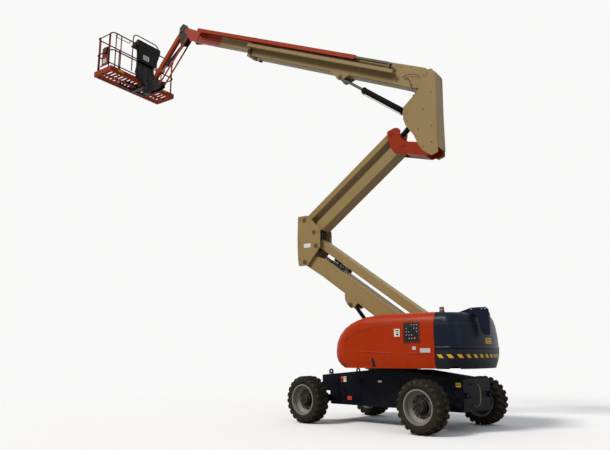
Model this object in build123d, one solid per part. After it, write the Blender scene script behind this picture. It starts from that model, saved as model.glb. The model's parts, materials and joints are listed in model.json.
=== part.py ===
"""Articulating boom lift: self-propelled, four wheels, two parallelogram risers, telescopic boom and jib.

The origin is on the ground under the slewing axis. +X runs the way the boom points, +Y is the machine's
left seen from behind the boom, +Z is up. Millimetres and degrees. The pose is half raised, slewed off the chassis.
"""

import os
from math import atan2, cos, degrees, hypot, radians, sin

from build123d import *

os.makedirs("parts", exist_ok=True)

# ---------------------------------------------------------------- chassis and wheels
YAW = -9.5  # chassis long axis, off the superstructure
WHEELBASE, TRACK = 2712, 2077
TYRE_R, TYRE_W = 453.5, 355
BEAD_R, FLANGE_R = 280, 295
KINGPIN_IN = 165  # kingpin inboard of the wheel's middle
FRAME_HALF, FRAME_WALL = 490, 14
RING_R, RING_IN, RING_LOW, RING_TOP = 500, 380, 1040, 1078

# ---------------------------------------------------------------- turntable
DECK_TOP = 1108
TOWER_IN, TOWER_OUT = 205, 227  # the two riser towers, from the centre plane
HOOD_IN, HOOD_OUT = 300, 1050
HOOD_FRONT, SEAM_X = 805, -1349
HOOD_LOW, HOOD_WIDEST, HOOD_TOP = 1075, 1385, 2060
NOSE_BACK, NOSE_CORNER = -460, 330  # where the nose runs out on the roof, its radius in plan
ROOF_HALF = 860  # half width where the sides have rolled over into the roof
TAIL_R, TAIL_ROOF_R = 2044, 1820  # the tail's radius about the slewing axis, at its ridge and on its roof
TAIL_LOW, TAIL_RIDGE, TAIL_TOP = 1070, 1400, 2045
TAIL_CORNER = 300
SHELL = 14  # hood skin, stiffening included

# ---------------------------------------------------------------- risers, all pins as (x, z)
RISE = 36.0
LOW_LENGTH, UP_LENGTH = 3100, 2730
LOW_MAIN = (-547, 1519)
LOW_LINK_OFF = (-299, 347)
UP_MAIN_OFF = (-251, 656)  # from the lower riser's top pin, across the knuckle
UP_LINK_OFF = (259, 305)
LOW_LUG = (840, 2347)
TOWER_CYL = (-20, 1250)

# ---------------------------------------------------------------- upright, boom, jib
BOOM_PIN = (-1072, 7033)
BOOM_CYL = (-600, 6304)
BOOM_LUG = (1008, 7574)
BOOM_ANGLE = 25.6
BASE_LENGTH, FLY_LENGTH = 5280, 8020
BASE_WIDTH, FLY_SECTION = 300, (226, 290)
JIB_PIN, JIB_LINK_OFF = (6500, 10660), (-312, -285)
TIP_PIN = (6215, 10560)
JIB_LENGTH, JIB_ANGLE = 1640, -46.0
JIB_CYL, JIB_LUG_AT = (6424, 10270), (1290, -120)  # the lug along and square to the jib
ROTATOR_X = 7960

# ---------------------------------------------------------------- platform
FLOOR_Z, TOP_RAIL = 9437, 1253
PLAT_X0, PLAT_X1, PLAT_HALF = 8135, 8920, 1220
RAIL_R, POST_R = 19, 17

PIN_R, PLAY = 32, 0.5
# Half widths of the cylinders' feet and eyes. Each foot's pin is a stub in each plate, clear of the foot.
TOWER_FOOT, BOOM_FOOT, JIB_FOOT, STUB_GAP = 120, 100, 40, 6
TOWER_EYE, BOOM_EYE, JIB_EYE = 84.5, 57.5, 35.5
TIP_IN, TIP_OUT, JIB_HALF, JIB_PIN_HALF = 58, 74, 54, 100


def polar(start, length, angle):
    return (start[0] + length * cos(radians(angle)), start[1] + length * sin(radians(angle)))


def add(a, b):
    return (a[0] + b[0], a[1] + b[1])


def across(outline, y0, y1):
    """An outline in the XZ plane pushed from y0 to y1."""
    return extrude(Plane.XZ.offset(-y1) * outline, amount=y1 - y0, dir=(0, -1, 0))


def ahead(outline, x0, x1):
    """An outline in the YZ plane pushed from x0 to x1."""
    return extrude(Plane.YZ.offset(x0) * outline, amount=x1 - x0, dir=(1, 0, 0))


def up(outline, z0, z1):
    """An outline in plan pushed from z0 to z1."""
    return extrude(Plane.XY.offset(z0) * outline, amount=z1 - z0, dir=(0, 0, 1))


def slab(points, y0, y1, round_by=0):
    """A plate cut to an outline in the XZ plane, from y0 to y1."""
    outline = Polygon(*points, align=None)
    if round_by:
        outline = fillet(outline.vertices(), round_by)
    return across(outline, y0, y1)


def two_sides(y0, y1):
    """A stretch of Y on the left and its mirror image on the right."""
    return ((y0, y1), (-y1, -y0))


def both(points, y0, y1, round_by=0):
    one = slab(points, y0, y1, round_by)
    return [one, mirror(one, Plane.XZ)]


def disc(pin, r, y0, y1):
    """A round bar along Y at a pin."""
    return across(Pos(pin[0], pin[1]) * Circle(r), y0, y1)


def block(x0, x1, y0, y1, z0, z1):
    return Pos((x0 + x1) / 2, (y0 + y1) / 2, (z0 + z1) / 2) * Box(x1 - x0, y1 - y0, z1 - z0)


def upright_bar(x, y, r, z0, z1):
    return Pos(x, y, (z0 + z1) / 2) * Cylinder(r, z1 - z0)


def bar(a, b, r):
    """A round bar between two points in space."""
    a, b = Vector(*a), Vector(*b)
    return extrude(Plane(origin=a, z_dir=(b - a).normalized()) * Circle(r), amount=(b - a).length)


def along(start, angle):
    """Local frame with +X up a line that leaves start at an angle, and +Z square to it."""
    return Location((start[0], 0, start[1]), (0, -angle, 0))


def tube(x0, x1, z0, z1, half, wall, r=18):
    """A box section along local X, open at both ends."""
    mid = (z0 + z1) / 2
    outer = ahead(Pos(0, mid) * RectangleRounded(2 * half, z1 - z0, r), x0, x1)
    hole = RectangleRounded(2 * (half - wall), z1 - z0 - 2 * wall, max(r - wall, 2))
    return outer - ahead(Pos(0, mid) * hole, x0 - 1, x1 + 1)


def fuse(*shapes):
    flat = []
    for shape in shapes:
        flat.extend(shape if isinstance(shape, (list, tuple)) else [shape])
    whole = flat[0]
    for shape in flat[1:]:
        whole = whole + shape
    return whole


def cut(body, *tools):
    flat = []
    for tool in tools:
        flat.extend(tool if isinstance(tool, (list, tuple)) else [tool])
    for tool in flat:
        body = body - tool
    return body


def save(name, shape):
    export_step(Compound(children=list(shape.solids())) if len(shape.solids()) > 1 else shape.solids()[0], f"parts/{name}.step")


def on_chassis(shape):
    return Rot(0, 0, YAW) * shape


# ================================================================ chassis
FRAME_LOW, FRONT_LOW, FRAME_REAR = 345, 600, -1800
steer_x, drive_x = -WHEELBASE / 2, WHEELBASE / 2
SIDE = [
    (FRAME_REAR, 875), (FRAME_REAR, FRAME_LOW), (1230, FRAME_LOW), (1230, FRONT_LOW),
    (1455, FRONT_LOW), (1455, 915), (140, 1030), (-600, 1030),
]
side_view = Polygon(*SIDE, align=None)
hollow = offset(side_view, amount=-FRAME_WALL, kind=Kind.INTERSECTION)
inner_half = FRAME_HALF - FRAME_WALL
frame = across(side_view, -FRAME_HALF, FRAME_HALF) - across(hollow, -inner_half, inner_half)
end_plate = Polygon((-475, 350), (475, 350), (475, 890), (-385, 890), (-475, 800), align=None)
end_plate = fillet(end_plate.vertices().sort_by(Axis.X)[:2].sort_by(Axis.Y)[-1:], 60)
frame = fuse(
    frame,
    ahead(end_plate, FRAME_REAR - 14, FRAME_REAR + 1),
    upright_bar(0, 0, RING_R - 12, 960, RING_LOW),
    block(steer_x - 150, steer_x + 150, -inner_half - 1, inner_half + 1, 630, 650),
)
frame = cut(frame, upright_bar(0, 0, RING_IN - 40, 940, RING_LOW + 5))
for x0, x1 in ((-1000, -450), (-350, 350), (450, 1000)):
    frame = cut(frame, block(x0, x1, -360, 360, 300, 400))
# Windows for the two axles.
frame = cut(
    frame,
    block(steer_x - 85, steer_x + 85, -FRAME_HALF - 1, FRAME_HALF + 1, TYRE_R - 72, TYRE_R + 72),
    block(drive_x - 175, 1240, -260, 260, FRAME_LOW - 10, FRONT_LOW + 1),
)
save("chassis_frame", on_chassis(frame))

ring = upright_bar(0, 0, RING_R, RING_LOW, RING_TOP) - upright_bar(0, 0, RING_IN, RING_LOW - 1, RING_TOP + 1)
save("slew_ring", ring)

kingpin_y = TRACK / 2 - KINGPIN_IN
axle = fuse(
    block(steer_x - 70, steer_x + 70, -760, 760, TYRE_R - 60, TYRE_R + 60),
    block(steer_x - 120, steer_x + 120, -200, 200, TYRE_R - 40, 630),
    bar((steer_x + 115, -430, TYRE_R), (steer_x + 115, 430, TYRE_R), 38),
    block(steer_x + 60, steer_x + 115, -300, -240, TYRE_R - 40, TYRE_R + 40),
    block(steer_x + 60, steer_x + 115, 240, 300, TYRE_R - 40, TYRE_R + 40),
)
for side in (1, -1):
    y = side * kingpin_y
    for z0, z1 in ((TYRE_R + 84, TYRE_R + 108), (TYRE_R - 108, TYRE_R - 84)):
        axle = fuse(axle, upright_bar(steer_x, y, 62, z0, z1), block(steer_x - 62, steer_x + 62, *sorted((side * 740, y)), z0, z1))
    axle = fuse(axle, block(steer_x - 58, steer_x + 58, *sorted((side * 740, side * 785)), TYRE_R - 108, TYRE_R + 108))
    axle = fuse(axle, upright_bar(steer_x, y, 24, TYRE_R - 116, TYRE_R + 116))
save("steer_axle", on_chassis(axle))

for name, side in (("left", 1), ("right", -1)):
    y = side * kingpin_y
    face = side * (TRACK / 2 - PLAY)
    knuckle = fuse(
        upright_bar(steer_x, y, 54, TYRE_R - 78, TYRE_R + 78),
        bar((steer_x, y, TYRE_R), (steer_x, face, TYRE_R), 58),
        bar((steer_x, face - side * 26, TYRE_R), (steer_x, face, TYRE_R), 102),
        slab([(steer_x + 20, TYRE_R + 30), (steer_x + 180, TYRE_R + 30), (steer_x + 180, TYRE_R + 54), (steer_x + 20, TYRE_R + 54)], *sorted((y - side * 22, y + side * 25))),
    )
    knuckle = cut(knuckle, upright_bar(steer_x, y, 24 + PLAY, 0, 900))
    save(f"steer_knuckle_{name}", on_chassis(knuckle))

drive = fuse(
    block(drive_x - 75, drive_x + 75, -760, 760, TYRE_R - 65, TYRE_R + 65),
    block(drive_x - 160, drive_x + 60, -240, 240, TYRE_R - 130, TYRE_R + 130),
    block(drive_x - 100, drive_x + 60, -300, 300, TYRE_R + 60, FRONT_LOW),
)
for side in (1, -1):
    face = side * (TRACK / 2 - PLAY)
    drive = fuse(drive, bar((drive_x, side * 700, TYRE_R), (drive_x, face, TYRE_R), 108), bar((drive_x, side * 850, TYRE_R), (drive_x, side * 960, TYRE_R), 150))
save("drive_axle", on_chassis(drive))

# Tie-down eyes: a pair on the rear plate and a pair on top of the front box.
EYE_R, EYE_HOLE, EYE_T = 50, 26, 25
REAR_EYE, FRONT_EYE = (-1866, 400, 620), (1250, 440, 990)
front_seat = 915 + (1455 - FRONT_EYE[0]) * (1030 - 915) / (1455 - 140)
lugs = []
for side in (1, -1):
    for (x, y, z), foot in (
        (REAR_EYE, Pos((REAR_EYE[0] + FRAME_REAR - 14.3) / 2, REAR_EYE[2]) * Rectangle(FRAME_REAR - 14.3 - REAR_EYE[0], 2 * EYE_R)),
        (FRONT_EYE, Pos(FRONT_EYE[0], (FRONT_EYE[2] + front_seat + 5) / 2) * Rectangle(2 * EYE_R, FRONT_EYE[2] - front_seat - 5)),
    ):
        y0, y1 = sorted((side * (y - EYE_T / 2), side * (y + EYE_T / 2)))
        lugs.append(across(Pos(x, z) * Circle(EYE_R) + foot, y0, y1) - disc((x, z), EYE_HOLE, y0 - 1, y1 + 1))
save("tie_down_lugs", on_chassis(Compound(children=lugs)))

# Tyre and rim sections as (radius, distance outboard of the wheel's middle).
HALF = TYRE_W / 2
TYRE = [(BEAD_R, -140), (BEAD_R + 17, -142), (BEAD_R + 18, -160), (330, -HALF + 4), (375, -HALF), (420, -HALF + 6), (441, -HALF + 24), (449, -120), (TYRE_R, -60),
        (TYRE_R, 60), (449, 120), (441, HALF - 24), (420, HALF - 6), (375, HALF), (330, HALF - 4), (BEAD_R + 18, 160), (BEAD_R + 17, 142), (BEAD_R, 140)]
RIM = [(0, 0), (200, 0), (242, 20), (262, 34), (262, -140), (266, -158), (FLANGE_R, -158), (FLANGE_R, -143.5), (BEAD_R - 0.3, -142.2), (BEAD_R - 0.3, 142.2),
       (FLANGE_R, 143.5), (FLANGE_R, 158), (270, 158), (265, 140), (262, 60), (236, 38), (205, 17), (128, 17), (122, 62), (104, 70), (98, 104), (84, 112), (0, 112)]


def turned(section, centre, side):
    outline = make_face(Polyline(*[(r, side * y, 0) for r, y in section], close=True))
    return Pos(*centre) * revolve(outline, Axis.Y)


for end, x in (("steer", steer_x), ("drive", drive_x)):
    for name, side in (("left", 1), ("right", -1)):
        centre = (x, side * TRACK / 2, TYRE_R)
        save(f"tyre_{end}_{name}", on_chassis(turned(TYRE, centre, side)))
        save(f"rim_{end}_{name}", on_chassis(turned(RIM, centre, side)))

# ================================================================ turntable
deck_outline = [
    (480, -620), (480, 620), (250, 960), (SEAM_X + 4, 1005), (SEAM_X - 380, 700),
    (SEAM_X - 380, -700), (SEAM_X + 4, -1005), (250, -960),
]
deck = up(Polygon(*deck_outline, align=None), RING_TOP, DECK_TOP)
deck = cut(deck, upright_bar(0, 0, 170, RING_TOP - 5, DECK_TOP + 5))
TOWER = [(-1330, DECK_TOP - 1), (420, DECK_TOP - 1), (420, 1190), (80, 1345), (-250, 1480), (-400, 1640), (-700, 1990), (-960, 2000), (-1330, 1500)]
low_link = add(LOW_MAIN, LOW_LINK_OFF)
table = fuse(deck, both(TOWER, TOWER_IN, TOWER_OUT), block(-1330, -1300, -TOWER_IN - 1, TOWER_IN + 1, DECK_TOP - 1, 1500))
for pin in (LOW_MAIN, low_link):
    table = fuse(table, disc(pin, PIN_R, -TOWER_OUT - 14, TOWER_OUT + 14))
for pin in (LOW_MAIN, low_link, TOWER_CYL):
    table = fuse(table, [disc(pin, 62, y0, y1) for y0, y1 in two_sides(TOWER_OUT - 1, TOWER_OUT + 12)])
table = fuse(table, [disc(TOWER_CYL, PIN_R, y0, y1) for y0, y1 in two_sides(TOWER_FOOT + STUB_GAP, TOWER_OUT + 14)])
for side in (1, -1):
    # The bulkheads that carry the hoods, front and middle.
    for x in (300, -1330):
        table = fuse(table, block(x, x + 16, *sorted((side * (HOOD_IN + 30), side * (HOOD_OUT - 60))), DECK_TOP - 1, 1460))
    inner_wall = slab([(-1320, DECK_TOP - 1), (306, DECK_TOP - 1), (306, 1700), (-400, HOOD_TOP - SHELL - PLAY), (-1320, HOOD_TOP - SHELL - PLAY)], *sorted((side * (HOOD_IN + 30), side * (HOOD_IN + 46))))
    table = fuse(table, inner_wall)
save("turntable_frame", table)

# Tail: a cast weight with a cover over it, both swept about the slewing axis.


def side_half(z):
    """Half width of the superstructure at a height: it leans in below and rolls over into the roof above."""
    if z <= HOOD_WIDEST:
        return HOOD_OUT - 15 * ((HOOD_WIDEST - z) / (HOOD_WIDEST - HOOD_LOW)) ** 2
    share = (z - HOOD_WIDEST) / (HOOD_TOP - HOOD_WIDEST)
    return ROOF_HALF + (HOOD_OUT - ROOF_HALF) * max(0, 1 - share**6) ** 0.5


def tail_radius(z):
    """The tail's radius about the slewing axis: greatest at the ridge, rounded over at the roof."""
    if z <= TAIL_RIDGE:
        return TAIL_R - 76 * ((TAIL_RIDGE - z) / (TAIL_RIDGE - TAIL_LOW)) ** 2
    share = (z - TAIL_RIDGE) / (TAIL_TOP - TAIL_RIDGE)
    return TAIL_ROOF_R + (TAIL_R - TAIL_ROOF_R) * max(0, 1 - share**1.5) ** 0.25


def tail_plan(z, front, inset):
    """Circle about the slewing axis, cut off along both sides and ahead, with round rear corners."""
    half = side_half(z) - inset
    strip = Pos((front - 3000) / 2, 0) * Rectangle(front + 3000, 2 * half)
    plan = Circle(tail_radius(z) - inset) & strip
    return fillet(plan.vertices().group_by(Axis.X)[0], TAIL_CORNER - inset)


def tail_body(z0, z1, front, inset, lifted=0):
    """Loft through plans whose heights crowd together towards the roof."""
    sections = []
    for turn in TAIL_TURNS:
        z = z0 + (z1 - z0) * sin(radians(turn))
        sections.append(Pos(0, 0, z) * tail_plan(min(z + lifted, TAIL_TOP), front, inset))
    return loft(sections, ruled=True)


TAIL_TURNS = (0, 22, 40, 56, 68, 78, 85, 90)
weight = tail_body(TAIL_LOW, TAIL_RIDGE, SEAM_X - 8, 0)
weight = cut(weight, block(SEAM_X - 392, 0, -1020, 1020, 1000, DECK_TOP + 0.3))
weight = fuse(weight, block(-1700, -1420, -600, 600, TAIL_RIDGE - 1, 1900))
save("counterweight", weight)

cover_front, cover_low = SEAM_X - 3, TAIL_RIDGE + 0.3
cover = cut(
    tail_body(cover_low, TAIL_TOP, cover_front, 0),
    tail_body(cover_low - 1, TAIL_TOP - SHELL, cover_front + 1, SHELL, SHELL),
)
save("tail_cover", cover)

# The guard behind the tail is a bent plate with a flange along its outer edge.
GUARD = [
    (-1900, 1640), (-2153, 1655), (-2153, 2030), (-2090, 2110), (-1960, 2138), (-1820, 2130),
    (-1590, 2060), (-1590, 2000), (-1900, 1980),
]
GUARD_HOLLOW = [(-1850, 1600), (-2145, 1600), (-2145, 2030), (-2086, 2102), (-1960, 2130), (-1820, 2122), (-1500, 2030), (-1850, 1950)]
guard = slab(GUARD, 420, 480) - slab(GUARD_HOLLOW, 428, 481)
guard = guard - tail_body(cover_low, TAIL_TOP, cover_front, -PLAY, 0)
guard = guard - block(-2050, -1400, 400, 500, 1500, TAIL_TOP - 60)
save("tail_guard", guard.solids().sort_by(SortBy.VOLUME)[-1])


def nose_reach(z, top):
    """How far forward the hood goes: tucked in below, a superellipse back to the roof above."""
    if z <= HOOD_WIDEST:
        return HOOD_FRONT - 180 * ((HOOD_WIDEST - z) / (HOOD_WIDEST - HOOD_LOW)) ** 3
    share = min(1, (z - HOOD_WIDEST) / (top - HOOD_WIDEST))
    return NOSE_BACK + (HOOD_FRONT - NOSE_BACK) * (1 - share**2) ** (1 / 3)


def hood_body(inset):
    """Loft of the hood less an inset, open inside, below and at the seam where there is an inset."""
    top, over = HOOD_TOP - inset, 60 if inset else 0
    heights = [HOOD_LOW - over / 4, 1130, 1200, 1285, HOOD_WIDEST]
    heights += [HOOD_WIDEST + (top - HOOD_WIDEST) * sin(radians(turn)) for turn in NOSE_TURNS]
    sections = []
    for z in heights:
        front = nose_reach(z, top) - inset
        half = side_half(min(z + inset, HOOD_TOP) if z > HOOD_WIDEST else z) - inset
        corner = NOSE_CORNER - inset
        middle = (front - corner + corner * cos(radians(45)), half - corner + corner * sin(radians(45)))
        outline = Polyline((front, half - corner), (front, HOOD_IN - over), (SEAM_X + 4 - over, HOOD_IN - over))
        outline += Polyline((SEAM_X + 4 - over, HOOD_IN - over), (SEAM_X + 4 - over, half), (front - corner, half))
        outline += ThreePointArc((front - corner, half), middle, (front, half - corner))
        sections.append(Pos(0, 0, z) * make_face(outline))
    return loft(sections, ruled=True)


NOSE_TURNS = (14, 27, 39, 50, 60, 69, 77, 84, 88, 90)
HINGE = (HOOD_IN + 13, HOOD_TOP - SHELL)
hood_shell = cut(hood_body(0), hood_body(SHELL))
hood_shell = fuse(hood_shell, [bar((x, *HINGE), (x + 120, *HINGE), 11) for x in (-1250, -860, -480)])
PANEL = (-885, -545, 1600, 1960)
save("hood_left", cut(hood_shell, block(PANEL[0], PANEL[1], HOOD_OUT - 75, HOOD_OUT + 20, PANEL[2], PANEL[3])))
save("hood_right", mirror(hood_shell, Plane.XZ))

control = fuse(block(PANEL[0] + 8, PANEL[1] - 8, HOOD_OUT - 150, HOOD_OUT - 62, PANEL[2] + 8, PANEL[3] - 8), block(PANEL[0] + 60, PANEL[0] + 160, HOOD_OUT - 420, HOOD_OUT - 149, DECK_TOP + PLAY, PANEL[3] - 100))
save("control_box", control)

BEACON = (-1412, 790)
beacon = fuse(
    upright_bar(*BEACON, 52, TAIL_TOP + PLAY, TAIL_TOP + 22),
    upright_bar(*BEACON, 44, TAIL_TOP + 21, TAIL_TOP + 105),
)
beacon = fillet(beacon.edges().sort_by(Axis.Z)[-1], 22)
save("beacon", beacon)

save("engine_block", block(-900, 100, -880, -420, DECK_TOP + PLAY, 1720))

# ================================================================ lower riser
low_top = polar(LOW_MAIN, LOW_LENGTH, RISE)
to_low = along(LOW_MAIN, RISE)
LOW_BOX = (-30, 325)
LOW_HALF, LINK_HALF = 180, 140
riser = to_low * tube(120, LOW_LENGTH - 400, *LOW_BOX, LOW_HALF, 10)
FOOT_PLATE = [(-60, -62), (300, -30), (300, 160), (120, 200), (-60, 62)]
HEAD_PLATE = [
    (LOW_LENGTH - 520, -30), (LOW_LENGTH + 50, -62), (LOW_LENGTH + 66, 0), (LOW_LENGTH + 40, 62),
    (LOW_LENGTH - 140, 240), (LOW_LENGTH - 330, 300), (LOW_LENGTH - 400, 325), (LOW_LENGTH - 520, 325),
]
LOW_LUG_PLATE = [(982, 2586), (970, 2450), (909, 2340), (833, 2269), (756, 2279), (662, 2367), (551, 2506)]
for y0, y1 in two_sides(LOW_HALF - 22, LOW_HALF):
    riser = fuse(riser, to_low * slab(FOOT_PLATE, y0, y1, 30), to_low * slab(HEAD_PLATE, y0, y1, 12))
for y0, y1 in two_sides(150, LOW_HALF - 2):
    riser = fuse(riser, slab(LOW_LUG_PLATE, y0, y1, 14))
riser = fuse(
    riser,
    disc(LOW_MAIN, 60, -LOW_HALF, LOW_HALF),
    disc(low_top, 62, -LOW_HALF, LOW_HALF),
    [disc(LOW_LUG, 40, y0, y1) for y0, y1 in two_sides(TOWER_EYE + PLAY, 151)],
)
riser = cut(riser, disc(LOW_MAIN, PIN_R + PLAY, -300, 300), disc(low_top, PIN_R + PLAY, -300, 300))
save("lower_riser", riser)

link_top = add(low_top, LOW_LINK_OFF)
to_link = along(low_link, RISE)
link = to_link * tube(0, LOW_LENGTH, -12, 168, LINK_HALF, 8)
link = fuse(link, disc(low_link, 46, -LINK_HALF, LINK_HALF), disc(link_top, 46, -LINK_HALF, LINK_HALF))
link = cut(link, disc(low_link, PIN_R + PLAY, -300, 300), disc(link_top, PIN_R + PLAY, -300, 300))
save("lower_riser_link", link)

# ================================================================ knuckle between the risers
up_main, up_link = add(low_top, UP_MAIN_OFF), add(add(low_top, UP_MAIN_OFF), UP_LINK_OFF)
KNUCKLE = [(2143, 4397), (1880, 4397), (1552, 4052), (1546, 3913), (1556, 3640), (1880, 3259), (2124, 3262), (2150, 3500), (2160, 3900)]
KN_IN, KN_OUT = 222, 244
knuckle = fuse(both(KNUCKLE, KN_IN, KN_OUT, 24), slab([(2100, 3620), (2130, 3620), (2136, 4120), (2106, 4120)], -KN_IN - 1, KN_IN + 1))
for pin in (low_top, link_top, up_main, up_link):
    knuckle = fuse(knuckle, disc(pin, PIN_R, -KN_OUT - 12, KN_OUT + 12), [disc(pin, 56, y0, y1) for y0, y1 in ((KN_OUT - 1, KN_OUT + 9), (-KN_OUT - 9, -KN_OUT + 1))])
save("riser_knuckle", knuckle)

# ================================================================ upper riser
up_angle = 180 - RISE
UP_HALF, UP_LINK_HALF = 160, 140
up_end, up_link_end = polar(up_main, UP_LENGTH, up_angle), polar(up_link, UP_LENGTH, up_angle)
# Local +Z points down on this line, so heights below change sign.
to_up, to_up_link = along(up_main, up_angle), along(up_link, up_angle)
riser = to_up * tube(150, UP_LENGTH - 120, -170, 75, UP_HALF, 9)
for side in (1, -1):
    y0, y1 = sorted((side * (UP_HALF - 20), side * (UP_HALF + 3)))
    riser = fuse(riser, to_up * slab([(-50, -46), (70, -120), (220, -145), (330, -145), (330, 50), (170, 50), (-40, 52)], y0, y1, 12), to_up * slab([(UP_LENGTH - 300, -145), (UP_LENGTH - 200, -145), (UP_LENGTH + 46, -46), (UP_LENGTH + 46, 50), (UP_LENGTH - 300, 50)], y0, y1, 12))
riser = fuse(riser, disc(up_main, 62, -UP_HALF - 8, UP_HALF + 8), disc(up_end, 62, -UP_HALF - 8, UP_HALF + 8))
riser = cut(riser, disc(up_main, PIN_R + PLAY, -300, 300), disc(up_end, PIN_R + PLAY, -300, 300))
save("upper_riser", riser)

link = to_up_link * tube(0, UP_LENGTH, -76, 70, UP_LINK_HALF, 8)
link = fuse(link, disc(up_link, 60, -UP_LINK_HALF - 8, UP_LINK_HALF + 8), disc(up_link_end, 60, -UP_LINK_HALF - 8, UP_LINK_HALF + 8))
link = cut(link, disc(up_link, PIN_R + PLAY, -300, 300), disc(up_link_end, PIN_R + PLAY, -300, 300))
save("upper_riser_link", link)

# ================================================================ upright
# The bracket that carries the risers' top pins sits inside the upright's plates.
BR_IN, BR_OUT = 168.5, 179.5
UR_IN, UR_OUT = BR_OUT + 0.3, BR_OUT + 12.5
UPRIGHT = [
    (-1226, 7107), (-1120, 7112), (-1000, 7050), (-979, 6985), (-907, 6712), (-557, 6414), (-539, 6158),
    (-588, 6001), (-757, 5755), (-858, 5513), (-946, 5370), (-1126, 5235), (-1267, 5279), (-1300, 7000),
]
upright = fuse(
    both(UPRIGHT, UR_IN, UR_OUT, 20),
    slab([(-1285, 5380), (-1265, 5380), (-1270, 7030), (-1290, 7030)], -UR_IN - 1, UR_IN + 1),
    disc(BOOM_PIN, PIN_R + 4, -UR_OUT - 9, UR_OUT + 9),
)
for y0, y1 in two_sides(BOOM_FOOT + STUB_GAP, UR_OUT + 9):
    upright = fuse(upright, disc(BOOM_CYL, PIN_R + 4, y0, y1))
for y0, y1 in two_sides(UR_OUT - 1, UR_OUT + 6):
    upright = fuse(upright, disc(BOOM_PIN, 66, y0, y1), disc(BOOM_CYL, 62, y0, y1))
for y0, y1 in two_sides(UR_IN, UR_OUT):
    upright = fuse(upright, disc(BOOM_PIN, 78, y0, y1))
save("upright", upright)

BRACKET = [
    (-150, 5960), (-327, 6012), (-411, 5986), (-465, 5925), (-437, 5818), (-499, 5724), (-627, 5639),
    (-835, 5587), (-1180, 5560), (-1235, 5300), (-993, 5259), (-305, 5462), (-241, 5556), (-165, 5766),
]
BRACE = [(-980, 5266), (-560, 5390), (-565, 5406), (-985, 5282)]
bracket = fuse(both(BRACKET, BR_IN, BR_OUT, 14), slab(BRACE, -BR_IN - 1, BR_IN + 1))
for pin in (up_end, up_link_end):
    bracket = fuse(bracket, disc(pin, PIN_R, -BR_OUT - 12, BR_OUT + 12))
    bracket = fuse(bracket, [disc(pin, 54, y0, y1) for y0, y1 in two_sides(BR_OUT - 1, BR_OUT + 9)])
save("upright_bracket", bracket)

LEVEL_TOP, LEVEL_FOOT = (-655, 6073), (-400, 5838)
fall = degrees(atan2(LEVEL_FOOT[1] - LEVEL_TOP[1], LEVEL_FOOT[0] - LEVEL_TOP[0]))
reach = hypot(LEVEL_FOOT[1] - LEVEL_TOP[1], LEVEL_FOOT[0] - LEVEL_TOP[0])
level = along(LEVEL_TOP, fall) * fuse(
    ahead(Circle(24), 10, reach - 10),
    ahead(Circle(60), 90, reach - 45),
)
level = fuse(
    level,
    disc(LEVEL_TOP, 30, -60, 60), disc(LEVEL_TOP, 18, -UR_IN + 0.3, UR_IN - 0.3),
    disc(LEVEL_FOOT, 30, -60, 60), disc(LEVEL_FOOT, 18, -BR_IN + 0.3, BR_IN - 0.3),
)
save("level_cylinder", level)

# ================================================================ boom
to_boom = along(BOOM_PIN, BOOM_ANGLE)
BW = BASE_WIDTH
BASE_Z = (-335, 135)
base = to_boom * tube(60, BASE_LENGTH, *BASE_Z, BW / 2, 8, 24)
BOOM_LUG_PLATE = [(2430, -250), (2430, -330), (2350, -366), (2160, -472), (2110, -484), (2060, -472), (2000, -430), (1890, -330), (1890, -250)]
for side in (1, -1):
    y0, y1 = sorted((side * (BW / 2 - 6), side * (BW / 2 + 6)))
    base = fuse(base, to_boom * slab([(-90, -120), (-60, 90), (60, 135), (700, 128), (700, -325), (200, -335), (0, -300)], y0, y1, 20))
    base = fuse(base, to_boom * slab(BOOM_LUG_PLATE, *sorted((side * 130, side * (BW / 2 + 6))), 10))
collar = tube(BASE_LENGTH - 120, BASE_LENGTH, BASE_Z[0] - 22, BASE_Z[1] + 22, BW / 2 + 22, 24, 10)
base = fuse(
    base,
    disc(BOOM_PIN, 90, -BW / 2 - 6, BW / 2 + 6),
    [disc(BOOM_LUG, 40, y0, y1) for y0, y1 in two_sides(BOOM_EYE + PLAY, 131)],
    to_boom * collar,
)
# Cable carrier: a loop that rolls along the side, its upper run in a tray on the fly, its lower in a channel on the base.
CARRIER_Y = (BW / 2 + 68, BW / 2 + 148)
CHAIN_END, LOOP_UP, LOOP_LOW, LINK = 825, 92, -100, 56
CH_Y = (BW / 2 - 1, BW / 2 + 160)
channel = fuse(block(700, BASE_LENGTH - 30, *CH_Y, -108, LOOP_LOW - 0.4), block(700, BASE_LENGTH - 30, CH_Y[1] - 6, CH_Y[1], -140, -64), block(700, BASE_LENGTH - 30, BW / 2 - 1, CH_Y[1], -140, -134), [block(x, x + 10, BW / 2 - 1, CH_Y[1] - 1, -139, -108) for x in (701, 2200, 3700, BASE_LENGTH - 41)])
base = fuse(base, to_boom * channel)
base = cut(base, disc(BOOM_PIN, PIN_R + 4 + PLAY, -300, 300))
save("base_boom", base)

FW, FD = FLY_SECTION
FLY_Z, FLY_START = (-205, 75), 2300
tip_x, tip_z = (cos(radians(BOOM_ANGLE)) * (TIP_PIN[0] - BOOM_PIN[0]) + sin(radians(BOOM_ANGLE)) * (TIP_PIN[1] - BOOM_PIN[1]), -sin(radians(BOOM_ANGLE)) * (TIP_PIN[0] - BOOM_PIN[0]) + cos(radians(BOOM_ANGLE)) * (TIP_PIN[1] - BOOM_PIN[1]))
fly = to_boom * tube(FLY_START, tip_x - 330, *FLY_Z, FW / 2, 8, 16)
for side in (1, -1):
    y0, y1 = sorted((side * (FW / 2 - 1), side * (FW / 2 + 15)))
    fly = fuse(fly, to_boom * slab([(tip_x - 620, FLY_Z[0]), (tip_x - 330, FLY_Z[0] - 40), (tip_x - 90, tip_z - 110), (tip_x + 62, tip_z - 50), (tip_x + 62, tip_z + 52), (tip_x - 60, tip_z + 80), (tip_x - 620, FLY_Z[1])], y0, y1, 12))
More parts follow.
